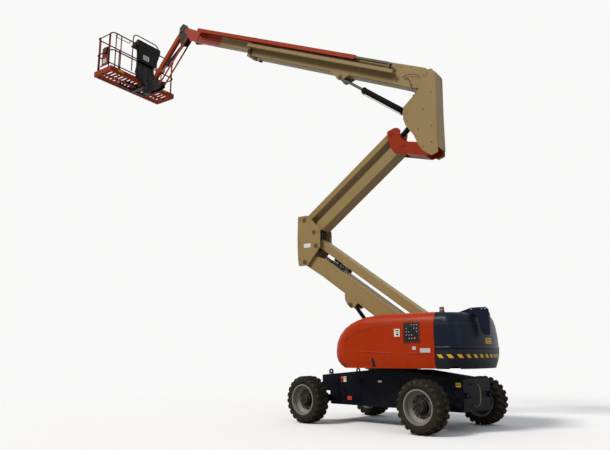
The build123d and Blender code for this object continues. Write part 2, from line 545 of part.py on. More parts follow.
fly = fuse(fly, disc(TIP_PIN, PIN_R, -FW / 2 - 24, FW / 2 + 24))
# Slide pads that fill the play between the two sections.
for x in (FLY_START + 20, BASE_LENGTH - 160):
    for z0, z1 in ((BASE_Z[0] + 8.5, FLY_Z[0] + 1), (FLY_Z[1] - 1, BASE_Z[1] - 8.5)):
        fly = fuse(fly, to_boom * block(x, x + 120, -70, 70, z0, z1))
save("fly_boom", fly)

# Cable carrier
mid_z, loop_r = (LOOP_UP + LOOP_LOW) / 2, (LOOP_UP - LOOP_LOW) / 2
side_view = Pos(CHAIN_END + loop_r, mid_z) * (Circle(loop_r) - Circle(loop_r - LINK)) - Pos(CHAIN_END + 2 * loop_r, mid_z) * Rectangle(2 * loop_r, 4 * loop_r)
side_view = side_view + Pos((CHAIN_END + loop_r + 2850) / 2, LOOP_UP - LINK / 2) * Rectangle(2850 - CHAIN_END - loop_r, LINK) + Pos((CHAIN_END + loop_r + 4150) / 2, LOOP_LOW + LINK / 2) * Rectangle(4150 - CHAIN_END - loop_r, LINK)
chain = to_boom * across(side_view, *CARRIER_Y)
save("cable_carrier", chain)

ty0, ty1 = CARRIER_Y[0] - 12, CARRIER_Y[1] + 12
tray = to_boom * fuse(block(1794, tip_x - 700, ty0, ty1, LOOP_UP + 8, LOOP_UP + 14), block(1794, tip_x - 700, ty0, ty0 + 5, LOOP_UP - 84, LOOP_UP + 14), block(1794, tip_x - 700, ty1 - 5, ty1, LOOP_UP - 84, LOOP_UP + 14), [block(x, x + 40, FW / 2 + PLAY, ty0 + 1, -60, LOOP_UP - 20) for x in (7200, 7340)])
save("carrier_tray", tray)

# ================================================================ boom tip and jib
jib_link_pin = add(JIB_PIN, JIB_LINK_OFF)
TIP = [(6150, 10540), (6190, 10640), (6420, 10880), (6560, 10790), (6580, 10640), (6500, 10230), (6400, 10190), (6180, 10330), (6120, 10430)]
tip_plates = both(TIP, TIP_IN, TIP_OUT, 24)
boom_tip = fuse(tip_plates, slab([(6330, 10700), (6360, 10700), (6400, 10850), (6370, 10850)], -TIP_IN - 1, TIP_IN + 1), disc(TIP_PIN, 60, -FW / 2 + 2, FW / 2 - 2))
for pin, r in ((JIB_PIN, 30), (jib_link_pin, 24)):
    boom_tip = fuse(boom_tip, disc(pin, r, -JIB_PIN_HALF, JIB_PIN_HALF))
boom_tip = fuse(boom_tip, [disc(JIB_CYL, 24, y0, y1) for y0, y1 in two_sides(JIB_FOOT + STUB_GAP, TIP_OUT)])
boom_tip = cut(boom_tip, disc(TIP_PIN, PIN_R + PLAY, -300, 300))
save("boom_tip", boom_tip)

jib_end, jib_link_end = polar(JIB_PIN, JIB_LENGTH, JIB_ANGLE), polar(jib_link_pin, JIB_LENGTH, JIB_ANGLE)
to_jib, to_jib_link = along(JIB_PIN, JIB_ANGLE), along(jib_link_pin, JIB_ANGLE)
JIB_LUG = polar(polar(JIB_PIN, JIB_LUG_AT[0], JIB_ANGLE), -JIB_LUG_AT[1], JIB_ANGLE - 90)
jib = to_jib * tube(110, JIB_LENGTH - 90, -75, 75, 50, 7, 12)
for x0, x1 in ((-44, 150), (JIB_LENGTH - 150, JIB_LENGTH + 44)):
    for y0, y1 in two_sides(36, JIB_HALF):
        jib = fuse(jib, to_jib * slab([(x0, -48), (x1, -48), (x1, 48), (x0, 48)], y0, y1, 20))
jib = fuse(jib, disc(JIB_PIN, 46, -JIB_HALF, JIB_HALF), disc(jib_end, 46, -JIB_HALF, JIB_HALF))
JIB_LUG_PLATE = [(1180, -60), (1400, -60), (1340, -140), (1300, -158), (1280, -158), (1240, -140)]
for y0, y1 in two_sides(JIB_EYE + PLAY, JIB_EYE + 16):
    jib = fuse(jib, to_jib * slab(JIB_LUG_PLATE, y0, y1, 8))
jib = cut(jib, disc(JIB_PIN, 30 + PLAY, -300, 300), disc(jib_end, 30 + PLAY, -300, 300))
save("jib_boom", jib)

# The levelling link is a pair of flat bars outside the plates that carry its pins.
bars = Rectangle(JIB_LENGTH, 56) + [Pos(x, 0) * Circle(36) for x in (-JIB_LENGTH / 2, JIB_LENGTH / 2)]
link = [to_jib_link * across(Pos(JIB_LENGTH / 2, 0) * bars, y0, y1) for y0, y1 in two_sides(78, 94)]
link = [cut(one, disc(jib_link_pin, 24 + PLAY, -300, 300), disc(jib_link_end, 24 + PLAY, -300, 300)) for one in link]
save("jib_link", Compound(children=link))

SUPPORT = [(7240, 9130), (7370, 9085), (7760, 9085), (ROTATOR_X + 40, 9090), (ROTATOR_X + 40, 9200), (7800, 9330), (7740, 9560), (7600, 9570), (7500, 9400), (7270, 9330)]
support = fuse(both(SUPPORT, TIP_IN, TIP_OUT, 20), upright_bar(ROTATOR_X, 0, 110, 9080, 9330), slab([(7800, 9095), (7900, 9095), (7900, 9120), (7800, 9120)], -TIP_IN - 1, TIP_IN + 1))
support = fuse(support, disc(jib_end, 30, -JIB_PIN_HALF, JIB_PIN_HALF))
# The link's pins are stubs, so that the jib's lug can pass between the plates.
support = fuse(support, [disc(jib_link_end, 24, y0, y1) for y0, y1 in two_sides(TIP_IN, JIB_PIN_HALF)])
save("platform_support", support)

# ================================================================ platform
swivel = fuse(upright_bar(ROTATOR_X, 0, 120, 9330 + PLAY, 9420), block(ROTATOR_X, PLAT_X0 + 560, -60, 60, 9345, FLOOR_Z - PLAY), block(PLAT_X0 + 200, PLAT_X0 + 260, -500, 500, 9377, FLOOR_Z - PLAY), block(PLAT_X0 + 500, PLAT_X0 + 560, -500, 500, 9377, FLOOR_Z - PLAY))
# A tapering plate stands up from the swivel outside the toe board and carries the console.
MOUNT = [(-120, 9350), (120, 9350), (380, 9710), (310, 10100), (-325, 10100), (-380, 9710)]
swivel = fuse(swivel, ahead(Polygon(*MOUNT, align=None), PLAT_X0 - 24, PLAT_X0 - 10))
save("platform_swivel", swivel)

floor = block(PLAT_X0, PLAT_X1, -PLAT_HALF, PLAT_HALF, FLOOR_Z, FLOOR_Z + 150) - block(PLAT_X0 + 5, PLAT_X1 - 5, -PLAT_HALF + 5, PLAT_HALF - 5, FLOOR_Z + 40, FLOOR_Z + 151)
save("platform_floor", floor)

top = FLOOR_Z + TOP_RAIL - RAIL_R
x0, x1, h = PLAT_X0 + RAIL_R, PLAT_X1 - RAIL_R, PLAT_HALF - RAIL_R
post_low = FLOOR_Z + 150 + PLAY
corner = 120


def hoop(z):
    """A rail all round the platform with bent corners, in two halves."""
    mid = (x0 + x1) / 2
    halves = []
    for x in (x0, x1):
        path = FilletPolyline((mid, -h, z), (x, -h, z), (x, h, z), (mid, h, z), radius=corner)
        halves.append(sweep(Plane(origin=path @ 0, z_dir=path % 0) * Circle(RAIL_R), path=path))
    return halves


rails = fuse(hoop(top), hoop(FLOOR_Z + 680))
posts = []
for x in (x0, x1):
    for y in (-h + corner, h - corner):
        posts.append(upright_bar(x, y, POST_R, post_low, top))
for x, ys in ((x1, (-400, 400)), (x0, (-460, 300, 900))):
    for y in ys:
        posts.append(upright_bar(x, y, POST_R, post_low, top))
for y in (-h, h):
    posts.append(upright_bar(x0 + corner, y, POST_R, post_low, top))
    posts.append(upright_bar(x1 - corner, y, POST_R, post_low, top))
rails = fuse(rails, posts)
# The entry is in the left end.
GATE_X = (x0 + corner, x1 - corner)
rails = cut(rails, block(GATE_X[0] + 12, GATE_X[1] - 12, h - 40, h + 40, FLOOR_Z + 600, top + 40))


def bent(points, r, bend):
    """A round bar bent along a path through points."""
    path = FilletPolyline(*points, radius=bend)
    return sweep(Plane(origin=path @ 0, z_dir=path % 0) * Circle(r), path=path)


HOOP_TOP, HOOP_LOW = 10960, 9720
guard_hoop = bent([(x0, 480, HOOP_LOW), (x0, 480, HOOP_TOP), (x0, -505, HOOP_TOP), (x0, -505, top)], POST_R, 150)
grab_bar = bent([(x0, 1075, top), (x0, 1055, 10555), (x0, 600, 10565), (x0, 585, top)], 11, 35)
rails = fuse(rails, guard_hoop, grab_bar)
save("platform_rails", rails)

gate_top, gate_low = top - 2, FLOOR_Z + 240
gx0, gx1 = GATE_X[0] + POST_R + 24, GATE_X[1] - POST_R - 24
gate = fuse(
    upright_bar(gx0, h, 16, gate_low, gate_top), upright_bar(gx1, h, 16, gate_low, gate_top),
    bar((gx0, h, gate_top - 16), (gx1, h, gate_top - 16), 16), bar((gx0, h, FLOOR_Z + 680), (gx1, h, FLOOR_Z + 680), 16), bar((gx0, h, gate_low + 16), (gx1, h, gate_low + 16), 16),
    [block(gx0 - 23.3, gx0, h - 5, h + 5, z, z + 60) for z in (gate_low + 100, gate_top - 200)],
    block(gx0, gx0 + 300, h - 3, h + 3, gate_low + 10, 10262),
)
save("platform_gate", gate)

# The console hangs on the top rail: a lid over the rail, a body that tapers down to its mount.
body = loft([Pos(PLAT_X0 - 62, -5, 10101) * Rectangle(100, 630), Pos(PLAT_X0 - 62, -40, 10600) * Rectangle(100, 850)])
lid = slab([(PLAT_X0 - 120, 10590), (PLAT_X0 + 200, 10590), (PLAT_X0 + 245, 10630), (PLAT_X0 - 60, 10770), (PLAT_X0 - 120, 10770)], -470, 390, 12)
console = cut(
    fuse(body, lid),
    bar((x0, -600, top), (x0, 600, top), RAIL_R + PLAY),
    [upright_bar(x0, y, POST_R + PLAY, 9000, 11000) for y in (-460, 300)],
)
save("platform_console", console)

# ================================================================ cylinders


def cylinder(name, foot, eye, barrel, start, bore, rod_r, foot_half, eye_half, foot_r, eye_r, pin_r):
    """Barrel from its foot, rod from inside the barrel to the eye between the lug's plates."""
    angle = degrees(atan2(eye[1] - foot[1], eye[0] - foot[0]))
    length = hypot(eye[0] - foot[0], eye[1] - foot[1])
    at = along(foot, angle)
    body = fuse(
        ahead(Circle(bore + 9), 60, barrel),
        ahead(Circle(foot_r - 6), 10, 65),
        ahead(Circle(bore + 15), barrel - 40, barrel),
    )
    body = at * (body - ahead(Circle(rod_r + PLAY), 100, barrel + 5))
    body = fuse(body, disc(foot, foot_r, -foot_half, foot_half))
    save(f"{name}_barrel", body - disc(foot, pin_r + PLAY, -400, 400))
    save(f"{name}_rod", fuse(at * ahead(Circle(rod_r), start, length), disc(eye, eye_r, -eye_half, eye_half)))


cylinder("tower_cylinder", TOWER_CYL, LOW_LUG, 960, 460, 62, 42, TOWER_FOOT, TOWER_EYE, 58, 50, PIN_R)
cylinder("boom_cylinder", BOOM_CYL, BOOM_LUG, 1390, 610, 56, 32, BOOM_FOOT, BOOM_EYE, 50, 44, PIN_R + 4)
cylinder("jib_cylinder", JIB_CYL, JIB_LUG, 820, 240, 34, 22, JIB_FOOT, JIB_EYE, 38, 30, 24)
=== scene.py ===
"""Looks of the articulating boom lift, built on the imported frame.

Metres, in the row frame: +X the way the boom points, +Y to the machine's left, +Z up.
"""

import json
from itertools import chain
from math import atan2, cos, pi, radians, sin, sqrt

import bmesh
import bpy
import numpy as np
from mathutils import Matrix, Vector


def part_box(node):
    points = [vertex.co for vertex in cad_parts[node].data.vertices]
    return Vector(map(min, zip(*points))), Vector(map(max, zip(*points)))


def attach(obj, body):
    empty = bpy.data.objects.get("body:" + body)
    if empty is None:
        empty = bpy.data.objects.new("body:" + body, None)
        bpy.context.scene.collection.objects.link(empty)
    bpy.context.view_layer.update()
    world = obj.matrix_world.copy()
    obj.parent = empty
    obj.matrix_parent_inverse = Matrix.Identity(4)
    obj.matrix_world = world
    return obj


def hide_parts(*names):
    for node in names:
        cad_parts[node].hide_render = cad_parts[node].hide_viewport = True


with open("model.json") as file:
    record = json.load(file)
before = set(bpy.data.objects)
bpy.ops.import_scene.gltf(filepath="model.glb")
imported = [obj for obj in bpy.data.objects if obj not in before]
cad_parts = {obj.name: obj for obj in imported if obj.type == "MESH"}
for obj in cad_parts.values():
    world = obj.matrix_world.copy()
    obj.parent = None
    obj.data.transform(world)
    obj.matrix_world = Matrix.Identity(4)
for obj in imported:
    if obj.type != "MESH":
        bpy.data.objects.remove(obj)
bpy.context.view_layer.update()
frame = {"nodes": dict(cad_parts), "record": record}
nodes = frame["nodes"]

# ------------------------------------------------------------------ camera
CAMERA_AT, CAMERA_LENS = (-5.4909, 10.8986, 1.3132), 34.765
CAMERA_YAW, CAMERA_PITCH, CAMERA_ROLL = radians(-55.076), radians(12.463), radians(-0.241)
camera_data = bpy.data.cameras.new("camera")
camera_data.lens = CAMERA_LENS
camera_data.sensor_width = 36.0
camera_data.clip_end = 200
camera = bpy.data.objects.new("camera", camera_data)
bpy.context.scene.collection.objects.link(camera)
ahead = Vector((cos(CAMERA_YAW) * cos(CAMERA_PITCH), sin(CAMERA_YAW) * cos(CAMERA_PITCH), sin(CAMERA_PITCH)))
right = ahead.cross(Vector((0, 0, 1))).normalized()
up = right.cross(ahead)
right, up = (right * cos(CAMERA_ROLL) + up * sin(CAMERA_ROLL),
             up * cos(CAMERA_ROLL) - right * sin(CAMERA_ROLL))
camera.matrix_world = Matrix((
    (right.x, up.x, -ahead.x, CAMERA_AT[0]),
    (right.y, up.y, -ahead.y, CAMERA_AT[1]),
    (right.z, up.z, -ahead.z, CAMERA_AT[2]),
    (0, 0, 0, 1),
))
bpy.context.scene.camera = camera
bpy.context.scene.view_settings.view_transform = "Standard"

# ------------------------------------------------------------------ places worked out from the frame
YAW = radians(-9.5)
BOOM_TILT, JIB_TILT, RISE = radians(25.6), radians(-46.0), radians(36.0)
BOOM_PIN, JIB_PIN = (-1.072, 0, 7.033), (6.5, 0, 10.66)
LOW_PIN, LOW_LENGTH = (-0.547, 0, 1.519), 3.1
# Each next pin's x and z from the one it follows: the lower link's, the upper riser's, the upper link's.
LOW_LINK_OFF, UP_OFF, UP_LINK_OFF = (-0.299, 0.347), (-0.251, 0.656), (0.259, 0.305)
LOW_TOP = (LOW_PIN[0] + LOW_LENGTH * cos(RISE), 0, LOW_PIN[2] + LOW_LENGTH * sin(RISE))
UP_PIN = (LOW_TOP[0] + UP_OFF[0], 0, LOW_TOP[2] + UP_OFF[1])
UP_LINK_PIN = (UP_PIN[0] + UP_LINK_OFF[0], 0, UP_PIN[2] + UP_LINK_OFF[1])
TOWER_EYE, BOOM_CYL, BOOM_EYE = (0.84, 2.347), (-0.6, 6.304), (1.008, 7.574)  # cylinder pins as (x, z)
WHEEL_X, WHEEL_Y, WHEEL_Z = 1.356, 1.0385, 0.4535
TYRE_HALF = 0.1775


def on_chassis(p):
    """Chassis coordinates turned by the chassis yaw about the slewing axis."""
    x, y, z = np.moveaxis(np.asarray(p, float), -1, 0)
    return np.stack([x * cos(YAW) - y * sin(YAW), x * sin(YAW) + y * cos(YAW), z], -1)


def tilted(p, start, angle):
    """Points given along, across and square to a line that leaves start at an angle in the XZ plane."""
    x, y, z = np.moveaxis(np.asarray(p, float), -1, 0)
    c, s = cos(angle), sin(angle)
    return np.stack([start[0] + x * c - z * s, start[1] + y, start[2] + x * s + z * c], -1)


def on_boom(p):
    return tilted(p, BOOM_PIN, BOOM_TILT)


def on_jib(p):
    return tilted(p, JIB_PIN, JIB_TILT)


def on_low(p):
    return tilted(p, LOW_PIN, RISE)


# -------------------------------------------------------------- surfaces, each as (points, blocks of faces)
def grid_faces(rows, cols, wrap_rows=False, wrap_cols=False):
    """Quads of a grid whose points run row by row."""
    r = np.arange(rows if wrap_rows else rows - 1)
    c = np.arange(cols if wrap_cols else cols - 1)
    r, c = np.meshgrid(r, c, indexing="ij")
    r1, c1 = (r + 1) % rows, (c + 1) % cols
    return np.stack([r * cols + c, r * cols + c1, r1 * cols + c1, r1 * cols + c], -1).reshape(-1, 4)


def end_caps(rows, cols, flip=False):
    """The first and the last row of a grid as two faces, wound opposite ways."""
    first, last = np.arange(cols), (rows - 1) * cols + np.arange(cols)
    return np.stack([first[::-1], last] if flip else [first, last[::-1]])


def lathe(profile, centre, axis, steps=48):
    """Point = centre + r (cos t u + sin t v) + h axis, for each (r, h) of the profile and t round it."""
    profile = np.asarray(profile, float)
    axis = np.array(axis, float) / np.linalg.norm(axis)
    u = np.array(Vector(axis).orthogonal().normalized())
    v = np.cross(axis, u)
    t = np.linspace(0, 2 * pi, steps, endpoint=False)[:, None, None]
    r, h = profile[None, :, 0:1], profile[None, :, 1:2]
    points = np.array(centre, float) + r * (np.cos(t) * u + np.sin(t) * v) + h * axis
    return points.reshape(-1, 3), [grid_faces(steps, len(profile), wrap_rows=True)]


def pipe(path, radius, sides=12):
    """Point = path(s) + r (cos t n(s) + sin t b(s)), with n and b square to the path, and flat caps."""
    path = np.asarray(path, float)
    tangent = np.gradient(path, axis=0)
    tangent /= np.linalg.norm(tangent, axis=1)[:, None]
    ref = np.array([0.0, 1.0, 0.0]) if np.abs(tangent[:, 1]).max() < 0.95 else np.array([0.0, 0.3, 1.0])
    side = np.cross(tangent, ref)
    side /= np.linalg.norm(side, axis=1)[:, None]
    other = np.cross(tangent, side)
    t = np.linspace(0, 2 * pi, sides, endpoint=False)[None, :, None]
    r = np.broadcast_to(np.asarray(radius, float), (len(path),))[:, None, None]
    points = path[:, None, :] + r * (np.cos(t) * side[:, None, :] + np.sin(t) * other[:, None, :])
    faces = [grid_faces(len(path), sides, wrap_cols=True), end_caps(len(path), sides, flip=True)]
    return points.reshape(-1, 3), faces


def smooth_path(points, per_run=10):
    """A Catmull-Rom curve: each run is the cubic through its four neighbouring points."""
    p = np.asarray(points, float)
    p = np.vstack([2 * p[0] - p[1], p, 2 * p[-1] - p[-2]])
    t = np.linspace(0, 1, per_run, endpoint=False)[None, :, None]
    a, b, c, d = p[:-3, None], p[1:-2, None], p[2:-1, None], p[3:, None]
    runs = 0.5 * (2 * b + (c - a) * t + (2 * a - 5 * b + 4 * c - d) * t**2 + (3 * b - a - 3 * c + d) * t**3)
    return np.vstack([runs.reshape(-1, 3), p[-2:-1]])


def plate(outline, y0, y1, place=None):
    """An outline in the XZ plane carried from y0 to y1, closed by the outline at both ends."""
    outline = np.asarray(outline, float)
    n = len(outline)
    low = np.column_stack([outline[:, 0], np.full(n, y0), outline[:, 1]])
    high = np.column_stack([outline[:, 0], np.full(n, y1), outline[:, 1]])
    points = np.vstack([low, high])
    k = np.arange(n)
    sides = np.stack([k, (k + 1) % n, n + (k + 1) % n, n + k], -1)
    return (place(points) if place else points), [end_caps(2, n), sides]


def bar_block(low, high, place=None):
    """A plain rectangular bar between two corners; its edges are rounded afterwards."""
    (x0, y0, z0), (x1, y1, z1) = low, high
    return plate([(x0, z0), (x1, z0), (x1, z1), (x0, z1)], y0, y1, place)


def hex_head(centre, axis, radius=0.016, height=0.012):
    """A six-sided bolt head on a washer, its top chamfered."""
    profile = [(0, 0), (radius * 1.35, 0), (radius * 1.35, height * 0.2), (radius, height * 0.2),
               (radius, height * 0.8), (radius * 0.8, height), (0, height)]
    return lathe(profile, centre, axis, 6)


def pin_head(centre, axis, radius, height=0.012):
    """A round pin end: a retaining collar, a groove and a domed end."""
    profile = [(0, 0), (radius * 1.35, 0), (radius * 1.35, height * 0.5), (radius * 1.08, height * 0.6),
               (radius, height * 0.62), (radius * 0.94, height * 0.95), (0, height)]
    return lathe(profile, centre, axis, 32)


def make(name, body, material, *shapes, bevel=0.0, angle=35, replaces=(), mask=None):
    """One object from several shapes, doubles merged, faces outwards, edges sharper than the angle kept."""
    starts = np.cumsum([0] + [len(points) for points, _ in shapes])
    points = np.vstack([points for points, _ in shapes])
    blocks = [(block + start).tolist() for start, (_, own) in zip(starts, shapes) for block in own]
    mesh = bpy.data.meshes.new(name)
    mesh.from_pydata(points.tolist(), [], list(chain.from_iterable(blocks)))
    if mask is not None:
        mesh.attributes.new("mask", "FLOAT", "POINT").data.foreach_set(
            "value", np.asarray(mask, np.float32).ravel())
    bm = bmesh.new()
    bm.from_mesh(mesh)
    bmesh.ops.remove_doubles(bm, verts=bm.verts, dist=1e-6)
    bmesh.ops.dissolve_degenerate(bm, edges=bm.edges, dist=1e-7)
    bmesh.ops.recalc_face_normals(bm, faces=bm.faces)
    bm.to_mesh(mesh)
    bm.free()
    return settled(name, mesh, body, material, bevel, angle, replaces)


def settled(name, mesh, body, material, bevel=0.0, angle=35, replaces=()):
    """The mesh as an object that rides on a body, smooth but for its sharp edges."""
    mesh.shade_smooth()
    mesh.set_sharp_from_angle(angle=radians(angle))
    mesh.materials.clear()
    mesh.materials.append(material)
    obj = bpy.data.objects.new(name, mesh)
    bpy.context.scene.collection.objects.link(obj)
    if bevel:
        m = obj.modifiers.new("rounded_edges", "BEVEL")
        m.width, m.segments, m.limit_method, m.angle_limit = bevel, 2, "ANGLE", radians(40)
        m.use_clamp_overlap = True
    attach(obj, body)
    if replaces:
        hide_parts(*replaces)
    return obj


def smooth_copy(node, body, material, angle=28):
    """A node's own shape with its doubles merged and smooth shading across its rounded faces."""
    mesh = nodes[node].data.copy()
    bm = bmesh.new()
    bm.from_mesh(mesh)
    bmesh.ops.remove_doubles(bm, verts=bm.verts, dist=2e-5)
    bm.to_mesh(mesh)
    bm.free()
    return settled(node + "_skin", mesh, body, material, 0.0, angle, (node,))


# ------------------------------------------------------------------ shader groups
def node_group(name, inputs, outputs):
    """An empty group with named sockets, and its input and output nodes. A tuple stands for a colour."""
    group = bpy.data.node_groups.new(name, "ShaderNodeTree")
    for label, value in inputs.items():
        kind = "NodeSocketColor" if isinstance(value, tuple) else "NodeSocketFloat"
        group.interface.new_socket(label, in_out="INPUT", socket_type=kind).default_value = value
    for label, kind in outputs.items():
        group.interface.new_socket(label, in_out="OUTPUT", socket_type=kind)
    return group, group.nodes.new("NodeGroupInput"), group.nodes.new("NodeGroupOutput")


class Net:
    """Short forms for making and joining shader nodes."""

    def __init__(self, tree):
        self.tree = tree

    def new(self, kind, **values):
        n = self.tree.nodes.new("ShaderNode" + kind)
        for k, v in values.items():
            setattr(n, k, v)
        return n

    def link(self, a, b):
        self.tree.links.new(a, b)

    def put(self, socket, value):
        if isinstance(value, bpy.types.NodeSocket):
            self.link(value, socket)
        else:
            socket.default_value = value

    def math(self, operation, a, b, clamp=False):
        n = self.new("Math", operation=operation, use_clamp=clamp)
        self.put(n.inputs[0], a)
        self.put(n.inputs[1], b)
        return n.outputs[0]

    def plus(self, a, b, clamp=False):
        return self.math("ADD", a, b, clamp=clamp)

    def minus(self, a, b):
        return self.math("SUBTRACT", a, b)

    def times(self, a, b, clamp=False):
        return self.math("MULTIPLY", a, b, clamp=clamp)

    def mix(self, factor, a, b):
        n = self.new("Mix", data_type="RGBA", blend_type="MIX")
        self.put(n.inputs[0], factor)
        self.put(n.inputs[6], a)
        self.put(n.inputs[7], b)
        return n.outputs[2]

    def ramp(self, value, low, high):
        n = self.new("MapRange", clamp=True)
        n.interpolation_type = "SMOOTHSTEP"
        self.put(n.inputs[0], value)
        self.put(n.inputs[1], low)
        self.put(n.inputs[2], high)
        return n.outputs[0]

    def noise(self, vector, scale, detail=4.0, rough=0.55):
        n = self.new("TexNoise")
        self.put(n.inputs["Vector"], vector)
        self.put(n.inputs["Scale"], scale)
        n.inputs["Detail"].default_value = detail
        n.inputs["Roughness"].default_value = rough
        return n.outputs["Fac"]


def make_finish_group():
    """Sprayed or moulded skin: colour drift, dust that settles low and on top faces, scuffs, orange peel."""
    group, gin, gout = node_group(
        "surface_finish",
        {
            "Colour": (0.5, 0.5, 0.5, 1), "Dust colour": (0.42, 0.36, 0.28, 1),
            "Scuff colour": (0.3, 0.28, 0.25, 1), "Dust": 0.15, "Scuff": 0.1, "Drift": 0.12,
            "Roughness": 0.4, "Grain scale": 220.0},
        {"Colour": "NodeSocketColor", "Roughness": "NodeSocketFloat", "Height": "NodeSocketFloat"})
    net = Net(group)
    coord = net.new("TexCoord").outputs["Object"]
    geo = net.new("NewGeometry")
    big, mid = net.noise(coord, 1.3, 3), net.noise(coord, 9.0, 5, 0.62)
    fine = net.noise(coord, gin.outputs["Grain scale"], 2)
    streak_map = net.new("Mapping")
    net.link(coord, streak_map.inputs["Vector"])
    streak_map.inputs["Scale"].default_value = (14, 14, 1.1)
    streak = net.noise(streak_map.outputs[0], 1.0, 4, 0.6)
    blotch = net.plus(net.times(big, 0.6), net.times(streak, 0.4))
    drift = net.times(net.minus(blotch, 0.5), gin.outputs["Drift"])
    value = net.new("HueSaturation")
    net.link(gin.outputs["Colour"], value.inputs["Color"])
    net.link(net.plus(net.times(drift, 2.0), 1.0), value.inputs["Value"])
    net.link(net.plus(net.times(drift, -0.6), 1.0), value.inputs["Saturation"])
    sep = net.new("SeparateXYZ")
    net.link(geo.outputs["Normal"], sep.inputs[0])
    facing_up = net.math("MAXIMUM", sep.outputs["Z"], 0.0)
    place = net.new("SeparateXYZ")
    net.link(coord, place.inputs[0])
    low_down = net.minus(1.0, net.ramp(place.outputs["Z"], 0.2, 1.3))
    lies = net.plus(net.plus(0.35, facing_up), low_down)
    dust = net.times(net.ramp(mid, 0.38, 0.72), lies)
    dust = net.times(dust, gin.outputs["Dust"], clamp=True)
    dusty = net.mix(dust, value.outputs[0], gin.outputs["Dust colour"])
    scratch_map = net.new("Mapping")
    net.link(coord, scratch_map.inputs["Vector"])
    scratch_map.inputs["Scale"].default_value = (3, 3, 40)
    lines = net.ramp(net.noise(scratch_map.outputs[0], 2.0, 6, 0.7), 0.66, 0.72)
    scratch = net.times(lines, net.ramp(net.noise(coord, 3.0, 3), 0.5, 0.6))
    chips = net.ramp(net.noise(coord, 38.0, 5, 0.7), 0.7, 0.73)
    scuff = net.times(net.math("MAXIMUM", scratch, chips), gin.outputs["Scuff"], clamp=True)
    net.link(net.mix(scuff, dusty, gin.outputs["Scuff colour"]), gout.inputs["Colour"])
    uneven = net.times(net.minus(mid, 0.5), 0.14)
    duller = net.plus(net.times(dust, 0.45), uneven)
    rough = net.plus(gin.outputs["Roughness"], duller, clamp=True)
    net.link(rough, gout.inputs["Roughness"])
    dents = net.minus(net.times(big, 0.2), net.times(scuff, 0.8))
    net.link(net.plus(net.times(fine, 0.5), dents), gout.inputs["Height"])
    return group


FINISH = make_finish_group()


def linear(rgb):
    """Screen colour, 0 to 255, to the linear value a shader takes."""
    c = np.asarray(rgb, float) / 255
    return tuple(np.where(c <= 0.04045, c / 12.92, ((c + 0.055) / 1.055) ** 2.4)) + (1.0,)


def finished(name, colour, rough=0.45, dust=0.15, scuff=0.1, drift=0.12, grain=220.0, bump=0.08,
             metal=0.0, coat=0.0, dust_colour=(120, 104, 82), recolour=None, specular=0.22):
    """A material fed by the finish group. recolour(net, coord, colour) may change the colour by place."""
    mat = bpy.data.materials.new(name)
    mat.use_nodes = True
    tree = mat.node_tree
    tree.nodes.clear()
    net = Net(tree)
    out, shader = net.new("OutputMaterial"), net.new("BsdfPrincipled")
    net.link(shader.outputs[0], out.inputs["Surface"])
    skin = net.new("Group")
    skin.node_tree = FINISH
    skin.inputs["Dust colour"].default_value = linear(dust_colour)
    skin.inputs["Scuff colour"].default_value = linear([c * 0.55 for c in colour])
    values = (
        ("Dust", dust), ("Scuff", scuff), ("Drift", drift), ("Roughness", rough), ("Grain scale", grain))
    for label, v in values:
        skin.inputs[label].default_value = v
    if recolour:
        coord = net.new("TexCoord").outputs["Object"]
        net.link(recolour(net, coord, linear(colour)), skin.inputs["Colour"])
    else:
        skin.inputs["Colour"].default_value = linear(colour)
    net.link(skin.outputs["Colour"], shader.inputs["Base Color"])
    net.link(skin.outputs["Roughness"], shader.inputs["Roughness"])
    b = net.new("Bump")
    b.inputs["Strength"].default_value = bump
    b.inputs["Distance"].default_value = 0.002
    net.link(skin.outputs["Height"], b.inputs["Height"])
    net.link(b.outputs[0], shader.inputs["Normal"])
    shader.inputs["Metallic"].default_value = metal
    shader.inputs["Coat Weight"].default_value = coat
    shader.inputs["Coat Roughness"].default_value = 0.15
    shader.inputs["Specular IOR Level"].default_value = specular
    return mat


def along_boom(net, coord):
    """Distance along the boom from its pin, from Object coordinates."""
    dot = net.new("VectorMath", operation="DOT_PRODUCT")
    net.link(coord, dot.inputs[0])
    dot.inputs[1].default_value = (cos(BOOM_TILT), 0, sin(BOOM_TILT))
    return net.minus(dot.outputs["Value"], BOOM_PIN[0] * cos(BOOM_TILT) + BOOM_PIN[2] * sin(BOOM_TILT))


CREAM = (150, 126, 82)


def fly_colours(net, coord, base):
    """Orange at the tip, cream towards the base boom, changing 6.51 m from the boom's pin."""
    return net.mix(net.ramp(along_boom(net, coord), 6.51, 6.515), base, linear((158, 46, 16)))


def settled_dirt(net, coord, base):
    """Dry dirt held where the piece's own mask says, broken up by noise."""
    held = net.new("Attribute")
    held.attribute_name = "mask"
    patchy = net.times(held.outputs["Fac"], net.ramp(net.noise(coord, 24.0, 5, 0.65), 0.3, 0.62))
    return net.mix(patchy, base, linear((84, 75, 58)))


